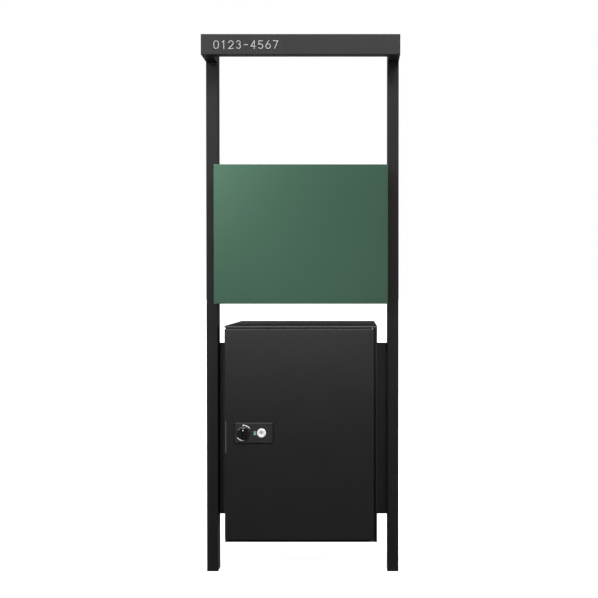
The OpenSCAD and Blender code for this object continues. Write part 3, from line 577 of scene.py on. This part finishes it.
# %% [markdown]
# ## Parcel box shell
# The parcel box is a bigger cabinet of the same sheet. Its roof folds down at
# the front to a narrow lip, and its right side folds in beside the door to
# cover the hinge. Both are drawn as the bent line that the press brake follows
# and then carried along the fold.

# %% Walls, roof and back
def bracket_holes(start, stop):
    """Cutters along X where the bracket screws pass a wall."""
    return [drill((leg_y, z), SCREW_ROOM, start, stop, "yzx", 24) for z in bracket_z]


low, high = corners("box_left_wall")
make("box_left_side", [slab(low, high, "x")], ["box_left_wall"],
     bracket_holes(high[0] - 30 * MM, high[0] + 30 * MM))

low, high = corners("box_right_wall")
half = SHEET / 2
path = [(low[0], low[1] + half), (high[0] - half, low[1] + half), (high[0] - half, high[1])]
side_sheet = prism(bent_sheet(path, SHEET, 1 * MM), "xyz", low[2], high[2])
roof_low, roof_high = corners("box_roof")
lip_space = slab(np.array([low[0] - 2 * MM, low[1] - 2 * MM, roof_low[2]]),
                 np.array([high[0] + 2 * MM, low[1] + SHEET + 0.05 * MM, high[2] + 2 * MM]),
                 "z", 0.1 * MM, 0.2 * MM)
make("box_right_side", [side_sheet], ["box_right_wall"],
     [lip_space] + bracket_holes(high[0] - 3 * MM, high[0] + 2 * MM))

lip_y, roof_z = roof_low[1] + half, roof_high[2] - half
path = [(lip_y, roof_low[2]), (lip_y, roof_z), (roof_high[1], roof_z)]
roof_sheet = prism(bent_sheet(path, SHEET, 2.4 * MM), "yzx", roof_low[0], roof_high[0], edge=0.5 * MM)
return_high = np.array([roof_low[0] + SHEET, corners("box_left_wall")[0][1], roof_z])
return_low = np.array([roof_low[0] + 0.05 * MM, roof_low[1] + SHEET - 0.2 * MM, roof_low[2]])
make("box_top_sheet", [roof_sheet, slab(return_low, return_high, "x", edge=0.3 * MM)], ["box_roof"])

pin_low, pin_high = corners("door_pins")
door_pin = (pin_low[:2] + pin_high[:2]) / 2
low, high = corners("box_floor")
make("box_floor_sheet", [slab(low, high, "z", edge=0.5 * MM)], ["box_floor"],
     [drill(door_pin, 3.05 * MM, low[2] - 1 * MM, high[2] + 1 * MM, "xyz", 32)])
make("box_back_sheet", [slab(*corners("box_back"), "y")], ["box_back"])
make("door_stop_frame", [tube(*corners("box_jamb"), "y", 18 * MM, corner=0.5 * MM)], ["box_jamb"])
make("strike_bar", [slab(*corners("strike_plate"), "y", edge=0.5 * MM, corner=1.5 * MM)], ["strike_plate"])

# %% [markdown]
# ## Ribbed floor mat
# A rubber mat keeps parcels off the steel. It is a relief: the height at each
# point is the full thickness less a round-bottomed groove, and the grooves
# stop short of the ends. A grid of heights is simpler than cutting grooves
# one after another, and it stays one closed skin.

# %% Mat as a height field
def relief(low, high, across, lengthwise, depth_of):
    """A closed block whose top is z = top - depth(x, y) on a grid."""
    x, y = np.meshgrid(lengthwise, across, indexing="ij")
    top = high[2] - depth_of(x, y)
    skin = np.stack([x, y, top], -1)
    nx, ny = x.shape
    rim = np.concatenate([np.arange(ny), np.arange(1, nx) * ny + ny - 1,
                          (nx - 1) * ny + np.arange(ny - 2, -1, -1), np.arange(nx - 2, 0, -1) * ny])
    k, j = np.meshgrid(np.arange(nx - 1), np.arange(ny - 1), indexing="ij")
    a = (k * ny + j).ravel()
    quads = np.stack([a, a + 1, a + ny + 1, a + ny], 1)
    points = skin.reshape(-1, 3)
    foot = points[rim] * np.array([1, 1, 0]) + np.array([0, 0, low[2]])
    n, m = len(points), len(rim)
    i = np.arange(m)
    walls = np.stack([rim, rim[(i + 1) % m], n + (i + 1) % m, n + i], 1)
    return np.concatenate([points, foot]), np.concatenate([quads, walls]), [n + i]


GROOVES, GROOVE_R, MAT_EDGE, MAT_RIM = 10, 3 * MM, 0.8 * MM, 8 * MM
low, high = corners("floor_mat")
pitch = (high[1] - low[1] + 3.5 * MM) / GROOVES
first = low[1] - 2 * MM


def groove(x, y):
    """Depth of a groove: r * sqrt(1 - (d / r)^2), faded out at both ends."""
    d = (y - first + pitch / 2) % pitch - pitch / 2
    round_bottom = np.sqrt(np.clip(1 - (d / GROOVE_R) ** 2, 0, 1))
    inside = (y > low[1] + MAT_RIM) & (y < high[1] - MAT_RIM)
    ends = np.clip((189 * MM - np.abs(x)) / GROOVE_R, 0, 1)
    edge = np.minimum.reduce([x - low[0], high[0] - x, y - low[1], high[1] - y])
    return GROOVE_R * round_bottom * inside * ends + MAT_EDGE * np.clip(1 - edge / MAT_EDGE, 0, 1) ** 2


rim = np.array([0, 0.4, 0.8]) * MM
across = np.unique(np.concatenate([low[1] + rim, np.linspace(low[1], high[1], 420), high[1] - rim]))
lengthwise = np.unique(np.concatenate([low[0] + rim, np.linspace(-190, -185, 8) * MM,
                                       np.linspace(-180, 180, 7) * MM, np.linspace(185, 190, 8) * MM,
                                       high[0] - rim]))
make("ribbed_mat", [relief(low, high, across, lengthwise, groove)], ["floor_mat"])

# %% [markdown]
# ## Side brackets
# Two long angle brackets carry the parcel box between the posts. An angle is
# the shortest bent sheet there is: one leg on the post, one on the box.

# %% Brackets
for side, s in zip(("left", "right"), SIDES):
    low, high = corners(f"bracket_{side}")
    outer, inner = (low[0], high[0]) if s < 0 else (high[0], low[0])
    leg_x, leg_front = inner + s * BRACKET / 2, low[1] + BRACKET / 2
    outline = bent_sheet([(outer, leg_front), (leg_x, leg_front), (leg_x, high[1])], BRACKET, 2.2 * MM)
    angle = make(f"{side}_angle_bracket", [prism(outline, "xyz", low[2], high[2], edge=0.5 * MM)],
                 [f"bracket_{side}"])
    # The brackets take a lighter copy of the black coat: painted light on brackets that stand in the shade
    # between post and box.
    angle["finish"] = "bracket_black_painted_light"

# %% [markdown]
# ## The parcel box door
# The door is a deep folded tray with a lined back and a rubber seal. Its face
# is punched for the lock, and a fine groove runs round the lock plate where
# the plate sits in its pressing. On the free edge a slanted insert gives the
# fingers a hold.

# %% Door tray with its openings
low, high = corners("door_skin")
plate_low, plate_high = corners("lock_plate")
knob_low, knob_high = corners("lock_knob")
KNOB = ((knob_low[0] + knob_high[0]) / 2, (knob_low[2] + knob_high[2]) / 2)
rim_low, rim_high = corners("key_cylinder")
KEY = ((rim_low[0] + rim_high[0]) / 2, (rim_low[2] + rim_high[2]) / 2)
flag_low, flag_high = corners("indicator_open")
pull_low, pull_high = corners("finger_pull")
PLATE_Y = plate_low[1]
KEY_ROOM, KNOB_ROOM = 9.52 * MM, 5 * MM

start, deep_in = FRONT - 2 * MM, FRONT + 3 * MM
window_rect = (flag_low[0] - 1 * MM, flag_high[0] + 1 * MM, flag_low[2] - 15 * MM, flag_high[2] + 15 * MM)
window_tool = rings(ring_stack(window_rect, [(0, start), (0, deep_in)], 1 * MM))
plate_rect, face, seat = faces_of(plate_low, plate_high, "y")
groove_line = [(-1.3 * MM, FRONT - 1 * MM), (-1.3 * MM, FRONT + 0.9 * MM), (0.6 * MM, FRONT + 0.9 * MM),
               (0.6 * MM, FRONT - 1 * MM)]
groove_tool = rings(ring_stack(plate_rect, groove_line, 4 * MM), closed=True)
pull_tool = slab(np.array([low[0] - 2 * MM, start, pull_low[2] - 0.2 * MM]), pull_high + 0.2 * MM, "z",
                 0.2 * MM, 0.3 * MM)
make("door_tray", [tray(low, high, "y", 0, SHEET, fold=2.4 * MM, corner=3 * MM)], ["door_skin"],
     [drill(KNOB, KNOB_ROOM, start, deep_in), drill(KEY, KEY_ROOM, start, deep_in),
      window_tool, groove_tool, pull_tool])
low, high = corners("door_liner")
make("door_back_sheet", [slab(low, high, "y", edge=0.5 * MM, corner=2 * MM)], ["door_liner"],
     [drill(KNOB, KNOB_ROOM, low[1] - 2 * MM, high[1] + 2 * MM)])

low, high = corners("door_seal")
rect, base, tip = faces_of(low, high, "y")
shoulder = base + 1.2 * MM
bulb = [(0, base), (0, shoulder), (0.6 * MM, tip), (5.4 * MM, tip), (6 * MM, shoulder), (6 * MM, base)]
bulb = soften(bulb, [0.3 * MM, 0.5 * MM, 1.8 * MM, 1.8 * MM, 0.5 * MM, 0.3 * MM], 5, closed=True)
make("door_rubber", [rings(ring_stack(rect, brace(bulb, True), 7 * MM, steps=8), closed=True)], ["door_seal"])

wedge = soften([(pull_low[0], pull_high[1]), (pull_high[0], pull_low[1]), pull_high[:2]], 0.35 * MM, 4,
               closed=True)
make("slanted_pull", [prism(brace(wedge, True), "xyz", pull_low[2], pull_high[2], edge=0.3 * MM)],
     ["finger_pull"])

# %% [markdown]
# ## Lock plate and key cylinder
# The lock is moulded and turned work: a plate with a bevelled edge, a round
# key cylinder in bright metal, a window with a coloured flag, and white arcs
# that show which way the knob turns. The arcs are thin raised strips, as paint
# would be too thin to show in a mesh.

# %% Lock plate
# The low dark rubber rim round the plate is painted shade: it stands for the shadowed gap where the plate
# sits in its pressing.
SHADE_RIM_WIDTH, PLATE_CORNER = 2 * MM, 4 * MM
shade_rim_line = soften([(0, seat), (0, seat - 0.5 * MM), (SHADE_RIM_WIDTH, seat - 0.5 * MM), (SHADE_RIM_WIDTH, seat)],
                     0.15 * MM, 2, closed=True)
add("plate_shade_rim", [rings(ring_stack(plate_rect, shade_rim_line, PLATE_CORNER, steps=8), closed=True)],
    "parcel_door", "rubber_black")
edge_line = soften([(8 * MM, face), (SHADE_RIM_WIDTH + 1.2 * MM, face), (SHADE_RIM_WIDTH, face + 1.2 * MM), (SHADE_RIM_WIDTH, seat),
                    (8 * MM, seat)], [0.5 * MM, 0.35 * MM, 0.1 * MM], 4)
before, behind = face - 1 * MM, seat + 1 * MM
glass_rect = faces_of(*corners("indicator_window"), "y")[0]
glass_tool = rings(ring_stack(glass_rect, [(0, before), (0, behind)], 0.8 * MM))
seat_ring = [(18.6 * MM, face - 0.5 * MM), (18.6 * MM, face + 0.5 * MM), (16 * MM, face + 0.5 * MM),
             (16 * MM, face - 0.5 * MM)]
make("lock_face", [rings(ring_stack(plate_rect, brace(edge_line), 5 * MM, steps=8))], ["lock_plate"],
     [drill(KNOB, 4.05 * MM, before, behind), drill(KEY, KEY_ROOM, before, behind),
      glass_tool, turned(seat_ring, KNOB, "xzy", closed=True, steps=96)])


def arc_strip(centre, radius, width, start, stop, steps=40):
    """Outline of a round strip: the outer arc out and the inner arc back."""
    t = np.radians(np.linspace(start, stop, steps))[:, None]
    way = np.hstack([np.cos(t), np.sin(t)])
    return centre + np.vstack([way * (radius + width / 2), way[::-1] * (radius - width / 2)])


ARCS = ((38, 97), (216, 273))
skin = [(0.06 * MM, PLATE_Y - 0.14 * MM), (0, PLATE_Y - 0.08 * MM), (0, PLATE_Y + 0.1 * MM)]
strips = [raised(arc_strip(np.array(KNOB), 21 * MM, 2.2 * MM, *ends), skin, "xzy") for ends in ARCS]
add("turning_arcs", strips, "parcel_door", "character_grey")["finish"] = "mark_white"

# %% Key cylinder and plug
rim_r, front_y, BORE = (rim_high[0] - rim_low[0]) / 2, rim_low[1], 6.05 * MM
line = [(BORE, front_y + 0.7 * MM), (7 * MM, front_y), (rim_r, front_y), (rim_r, PLATE_Y),
        (9.5 * MM, PLATE_Y), (9.5 * MM, rim_high[1]), (BORE, rim_high[1])]
line = soften(line, [0.15 * MM, 0.3 * MM, 1.1 * MM, 0.15 * MM, 0.1 * MM, 0.3 * MM, 0.3 * MM], 4, closed=True)
NUB_R = 1.1 * MM
t = np.linspace(0.1, math.pi / 2, 6)
nub = np.stack([NUB_R * np.sin(t), front_y - 0.45 * MM * np.cos(t)], 1)
nub = np.vstack([nub, [(NUB_R, front_y + 0.5 * MM)]])
make("key_rim", [turned(brace(line, True), KEY, "xzy", closed=True, steps=72),
                 turned(nub, (KEY[0], KEY[1] + 9.4 * MM), "xzy", steps=20)], ["key_cylinder"])
low, high = corners("key_plug")
PLUG_R, dish = 6 * MM, low[1] + 0.25 * MM
line = soften([(3 * MM, dish), (4.9 * MM, dish), (5.2 * MM, low[1]), (PLUG_R, low[1]), (PLUG_R, high[1]),
               (3 * MM, high[1])], [0.1 * MM, 0.1 * MM, 0.2 * MM, 0.4 * MM], 3)
way_rect = (KEY[0] - 0.8 * MM, KEY[0] + 0.8 * MM, KEY[1] - 4 * MM, KEY[1] + 4 * MM)
keyway = rings(ring_stack(way_rect, [(0, low[1] - 1 * MM), (0, low[1] + 7 * MM)], 0.4 * MM))
make("key_barrel", [turned(brace(line), KEY, "xzy")], ["key_plug"], [keyway])

# %% Window and flags
low, high = corners("indicator_window")
lens = soften([(1.8 * MM, low[1]), (0, low[1]), (0, high[1]), (1.8 * MM, high[1])], [0.6 * MM, 0.1 * MM], 4)
make("window_lens", [rings(ring_stack(glass_rect, lens, 0.8 * MM))], ["indicator_window"])
for node in ("indicator_open", "indicator_locked"):
    make(f"{node[10:]}_flag", [slab(*corners(node), "y", edge=0.2 * MM, corner=0.5 * MM)], [node])

# %% [markdown]
# ## The knob
# The knob is a low disc with a thick bar across it to grip, moulded in glossy
# black. The disc is turned; the bar's outline is two straight sides joined by
# arcs of the disc's own circle, stacked up with a rounded top. A small white
# drop on the bar shows where it points.

# %% Knob and lever
GRIP, TOP_ROUND = 6 * MM, 1.9 * MM
r = (knob_high[0] - knob_low[0]) / 2
bar_r = r - 1 * MM
base_y, top_y = knob_high[1], knob_low[1]
disc_y = base_y - 4.1 * MM
disc = soften([(6 * MM, base_y), (r, base_y), (r, base_y - 3.2 * MM), (r - 2.2 * MM, disc_y),
               (4 * MM, disc_y)], [0.4 * MM, 0.9 * MM, 0.6 * MM], 5)
swing = math.degrees(math.asin(GRIP / bar_r))
t = np.radians(np.concatenate([np.linspace(middle - swing, middle + swing, 20) for middle in (90, 270)]))
bar_line = np.array(KNOB) + bar_r * np.stack([np.cos(t), np.sin(t)], 1)
bar_line = brace(bar_line, closed=True, margin=1 * MM)
a = np.linspace(0, math.pi / 2, 7)
bar_rise = np.stack([TOP_ROUND * (1 - np.cos(a)), top_y + TOP_ROUND * (1 - np.sin(a))], 1)
bar_rise = np.vstack([[(0, base_y - 3 * MM)], bar_rise, [(3.4 * MM, top_y)]])
make("turn_knob", [turned(brace(disc), KNOB, "xzy", steps=96), raised(bar_line, bar_rise, "xzy")],
     ["lock_knob"])
t = np.linspace(0, 2 * math.pi, 48, endpoint=False)
drop = np.array(KNOB) + np.stack([1.7 * MM * np.sin(t) * np.sin(t / 2), 8.5 * MM - 2.5 * MM * np.cos(t)], 1)
skin = [(0.05 * MM, top_y - 0.1 * MM), (0, top_y - 0.05 * MM), (0, top_y + 0.1 * MM)]
add("knob_mark", [raised(drop, skin, "xzy")], "knob", "character_grey")["finish"] = "mark_white"
lever("lock_lever", "lock_cam", KNOB, 4.02 * MM, 4 * MM)

# %% [markdown]
# ## Finishes
# Powder coat is a thick paint that flows into a fine orange-peel skin, so its
# colour is even while its shine breaks up over a millimetre or less. One
# function mixes colour, shine and bump from noise on the piece's own place in
# space; each finish is then a line of numbers.

# %% Paint, rubber and metal
def linear(r, g, b):
    """Screen values 0-255 as linear light: v / 12.92 below 0.04045, otherwise
    ((v + 0.055) / 1.055) ^ 2.4."""
    v = np.array([r, g, b]) / 255
    return tuple(np.where(v <= 0.04045, v / 12.92, ((v + 0.055) / 1.055) ** 2.4).tolist())


def node(tree, kind, **values):
    """A node with its sockets set by name."""
    made = tree.nodes.new(kind)
    for key, value in values.items():
        made.inputs[key.replace("_", " ")].default_value = value
    return made


def combine(tree, operation, first, second):
    """Two values joined by a sum or a product."""
    made = tree.nodes.new("ShaderNodeMath")
    made.operation = operation
    tree.links.new(first.outputs[0], made.inputs[0])
    tree.links.new(second.outputs[0], made.inputs[1])
    return made


def ramp(tree, value, start, stop, at_start, at_stop, shape="LINEAR"):
    """A value's stretch from start to stop carried over to another stretch."""
    made = node(tree, "ShaderNodeMapRange", From_Min=start, From_Max=stop, To_Min=at_start, To_Max=at_stop)
    made.interpolation_type = shape
    tree.links.new(value, made.inputs["Value"])
    return made


def noise(tree, place, scale, detail, stretch):
    """Noise on object coordinates, stretched along any axis."""
    turn = node(tree, "ShaderNodeMapping", Scale=stretch)
    tree.links.new(place.outputs["Object"], turn.inputs["Vector"])
    made = node(tree, "ShaderNodeTexNoise", Scale=scale, Detail=detail)
    tree.links.new(turn.outputs["Vector"], made.inputs["Vector"])
    return made


def between(tree, source, low, high):
    """Noise's middle range, 0.3 to 0.7, spread from low to high."""
    return ramp(tree, source.outputs["Fac"], 0.3, 0.7, low, high)


SKIN_DEPTH = 0.03 * MM


def finish(name, colour, rough, spread=0.08, rough_spread=0.06, grain=900, bump=0.12, cloud=14,
           stretch=(1, 1, 1), **fixed):
    """A finish: colour * (1 +- spread) over broad clouds, roughness that varies
    over centimetres, and a bump of the coat's own grain size."""
    look = bpy.data.materials.new(name)
    look.use_nodes = True
    tree = look.node_tree
    shader = tree.nodes["Principled BSDF"]
    for key, value in fixed.items():
        shader.inputs[key.replace("_", " ")].default_value = value
    place = tree.nodes.new("ShaderNodeTexCoord")
    clouds = noise(tree, place, cloud, 3.0, stretch)
    mix = tree.nodes.new("ShaderNodeMix")
    mix.data_type = "RGBA"
    mix.inputs[6].default_value = (*[c * (1 - spread) for c in colour], 1)
    mix.inputs[7].default_value = (*[min(c * (1 + spread), 1) for c in colour], 1)
    amount = between(tree, clouds, 0, 1)
    tree.links.new(amount.outputs["Result"], mix.inputs[0])
    tree.links.new(mix.outputs[2], shader.inputs["Base Color"])
    patches = noise(tree, place, cloud * 5, 2.0, stretch)
    shine = between(tree, patches, rough - rough_spread, rough + rough_spread)
    tree.links.new(shine.outputs["Result"], shader.inputs["Roughness"])
    skin = noise(tree, place, grain, 2.0, stretch)
    relief_node = node(tree, "ShaderNodeBump", Strength=bump, Distance=SKIN_DEPTH)
    tree.links.new(skin.outputs["Fac"], relief_node.inputs["Height"])
    tree.links.new(relief_node.outputs["Normal"], shader.inputs["Normal"])
    return look


# Each line is the colour as linear light, the roughness, and what differs
# from an even coat.
COATS = {
    "frame_black": ((0.012, 0.012, 0.0126), 0.46, dict(rough_spread=0.03, grain=1100,
                                                       Specular_IOR_Level=0.3)),
    # A darker copy of frame_black for the posts: painted shade.
    "post_black_painted_shade": ((0.009, 0.009, 0.0094), 0.5, dict(rough_spread=0.02, grain=1100,
                                                     Specular_IOR_Level=0.24)),
    "mailbox_black": ((0.010, 0.010, 0.0105), 0.42, dict(rough_spread=0.04, bump=0.15)),
    "box_black": ((0.008, 0.008, 0.0083), 0.33, dict(rough_spread=0.02, bump=0.15)),
    "door_black": ((0.008, 0.008, 0.0083), 0.34, dict(rough_spread=0.03, bump=0.15)),
    # A lighter copy of frame_black for the brackets: painted light where they stand in shade.
    "bracket_black_painted_light": ((0.022, 0.022, 0.0225), 0.45, dict(rough_spread=0.03, grain=1100)),
    "inner_grey": ((0.05, 0.052, 0.055), 0.5, dict(bump=0.15)),
    "panel_green": ((0.046, 0.110, 0.071), 0.4, dict(spread=0.01, rough_spread=0.0, bump=0.08, grain=1200,
                                                     Metallic=0.9, Coat_Weight=0.3, Coat_Roughness=0.4)),
    "alloy": ((0.66, 0.67, 0.68), 0.38, dict(stretch=(1, 1, 30), Metallic=1.0)),
    "zinc_steel": ((0.55, 0.56, 0.58), 0.34, dict(spread=0.15, rough_spread=0.12, cloud=40, Metallic=1.0)),
    "rubber_black": ((0.006, 0.006, 0.006), 0.8, dict(bump=0.3, grain=600, Specular_IOR_Level=0.2)),
    "character_grey": ((0.37, 0.37, 0.38), 0.5, dict(spread=0.03, bump=0.08, grain=1500)),
    "mark_white": ((0.8, 0.8, 0.81), 0.4, dict(spread=0.03, bump=0.08, grain=1500)),
    "pull_metal": ((0.06, 0.06, 0.063), 0.4, dict(bump=0.1, grain=1200)),
    "lock_plate_black": ((0.012, 0.0125, 0.0135), 0.42, dict(grain=1600)),
    "knob_black": ((0.008, 0.008, 0.009), 0.16, dict(rough_spread=0.04, bump=0.04, grain=1500,
                                                     Coat_Weight=0.6, Coat_Roughness=0.05)),
    # The key ring's colour is nearly white with little metal: a painted reflection of the bright room, under
    # a real clear coat.
    "lock_chrome": ((0.93, 0.935, 0.94), 0.3, dict(spread=0.02, rough_spread=0.05, bump=0.04, Metallic=0.25,
                                                   Coat_Weight=0.5, Coat_Roughness=0.1)),
    "key_metal": ((0.78, 0.78, 0.79), 0.32, dict(stretch=(1, 1, 12), Metallic=0.4)),
    "window_clear": ((0.8, 0.85, 0.85), 0.08, dict(rough_spread=0.02, bump=0.02, Alpha=0.12)),
    "flag_green": (linear(92, 176, 160), 0.5, dict(spread=0.04, bump=0.05)),
    "flag_red": (linear(190, 52, 42), 0.5, dict(spread=0.04, bump=0.05)),
}
finishes = {name: finish(name, colour, rough, **rest) for name, (colour, rough, rest) in COATS.items()}

# %% Every visible surface gets its finish
for thing in list(bpy.context.scene.objects):
    if thing.get("finish"):
        thing.data.materials.clear()
        thing.data.materials.append(finishes[thing["finish"]])
for name, thing in frame["nodes"].items():
    if name not in stood_for:
        for slot in thing.material_slots:
            slot.material = finishes[slot_of[name]]
print(len(stood_for), "CAD nodes replaced,", len(frame["nodes"]) - len(stood_for), "kept with a new finish")

# %% [markdown]
# ## Floor, light and camera
# Black paint shows mostly what it mirrors, so the light is planned as shapes
# round the unit. Two softboxes at the left and one at the right graze the
# posts. In front, one glows on the green panel, one on the beam, and a low
# strip lies across the parcel door. A wide one overhead draws a line along the
# roof's fold, and two behind show the back. The room is bright above and dark
# low down in front. Low behind it is dim, so that the black back can be read.

# %% Floor
FLOOR = 60.0
floor_mesh = bpy.data.meshes.new("floor")
floor_mesh.from_pydata([(-FLOOR, -FLOOR, 0), (FLOOR, -FLOOR, 0), (FLOOR, FLOOR, 0), (-FLOOR, FLOOR, 0)], [],
                       [(0, 1, 2, 3)])
floor = bpy.data.objects.new("floor", floor_mesh)
bpy.context.scene.collection.objects.link(floor)
floor_mesh.materials.append(finish("floor_pale", (0.5, 0.5, 0.5), 0.9, spread=0.01, bump=0.0, cloud=1,
                                   Emission_Color=(1, 1, 1, 1), Emission_Strength=0.94))
floor.visible_glossy = False
floor.visible_diffuse = False

# %% Room light
world = bpy.data.worlds.new("room")
bpy.context.scene.world = world
world.use_nodes = True
tree = world.node_tree
tree.nodes.clear()
way = tree.nodes.new("ShaderNodeTexCoord")
parts = tree.nodes.new("ShaderNodeSeparateXYZ")
tree.links.new(way.outputs["Generated"], parts.inputs[0])
upward, backward = parts.outputs["Z"], parts.outputs["Y"]
bright_above = combine(tree, "MULTIPLY", ramp(tree, upward, 0.5, 0.7, 0.03, 1.0, "SMOOTHSTEP"),
                       ramp(tree, backward, -0.2, 0.2, 3.0, 1.3))
dim_behind = combine(tree, "MULTIPLY", ramp(tree, upward, -0.25, -0.05, 1.0, 0.0),
                     ramp(tree, backward, 0.05, 0.35, 0.0, 0.32))
both = combine(tree, "ADD", bright_above, dim_behind)
room = tree.nodes.new("ShaderNodeBackground")
room.inputs["Color"].default_value = (1, 1, 1, 1)
tree.links.new(both.outputs[0], room.inputs["Strength"])
plain = tree.nodes.new("ShaderNodeBackground")
plain.inputs["Color"].default_value = (1, 1, 1, 1)
seen = tree.nodes.new("ShaderNodeLightPath")
choose = tree.nodes.new("ShaderNodeMixShader")
tree.links.new(seen.outputs["Is Camera Ray"], choose.inputs[0])
tree.links.new(room.outputs[0], choose.inputs[1])
tree.links.new(plain.outputs[0], choose.inputs[2])
out = tree.nodes.new("ShaderNodeOutputWorld")
tree.links.new(choose.outputs[0], out.inputs["Surface"])


# %% Softboxes
def softbox(name, place, target, width, height, power):
    """An area light that faces a target."""
    light = bpy.data.lights.new(name, "AREA")
    light.shape, light.size, light.size_y, light.energy = "RECTANGLE", width, height, power
    lamp = bpy.data.objects.new(name, light)
    bpy.context.scene.collection.objects.link(lamp)
    lamp.location = place
    lamp.visible_camera = False
    away = np.array(place) - np.array(target)
    flat = math.hypot(away[0], away[1])
    lamp.rotation_euler = (math.atan2(flat, away[2]), 0, math.atan2(away[0], -away[1]))


softbox("left_high", (-1.3, -1.4, 2.2), (0.0, -0.17, 0.9), 0.7, 0.7, 5)
softbox("left_low", (-1.3, -1.4, 1.0), (0.0, -0.17, 0.9), 0.7, 0.7, 5)
softbox("panel_glow", (-0.95, -2.55, 1.75), (-0.2, -0.17, 1.1), 0.6, 0.6, 13)
softbox("front_high", (0.65, -2.55, 2.5), (0.2, -0.17, 1.3), 0.5, 0.5, 6)
softbox("front_strip", (-0.1, -2.55, 0.78), (0.0, -0.17, 0.7), 1.4, 0.3, 4)
softbox("fold_line", (0.5, -1.8, 2.9), (0.0, -0.2, 0.66), 2.0, 0.6, 36)
softbox("right_low", (1.3, -1.4, 0.9), (0.0, -0.17, 0.6), 0.4, 1.0, 4)
softbox("back_left", (-2.2, 2.2, 2.4), (0.0, 0.1, 0.8), 1.2, 1.2, 36)
softbox("back_right", (2.4, 2.2, 1.4), (0.0, 0.1, 0.8), 1.0, 1.4, 20)

# %% Camera
FOCAL, SENSOR, SHIFT, TILT = 50.7, 36, -0.092, 0.71
lens = bpy.data.cameras.new("camera")
lens.lens, lens.sensor_width, lens.shift_x = FOCAL, SENSOR, SHIFT
view = bpy.data.objects.new("camera", lens)
bpy.context.scene.collection.objects.link(view)
view.location = (0.146, FRONT - 2.307, 0.805)
view.rotation_euler = (math.radians(90 - TILT), 0, 0)
bpy.context.scene.camera = view
bpy.context.scene.view_settings.view_transform = "Standard"
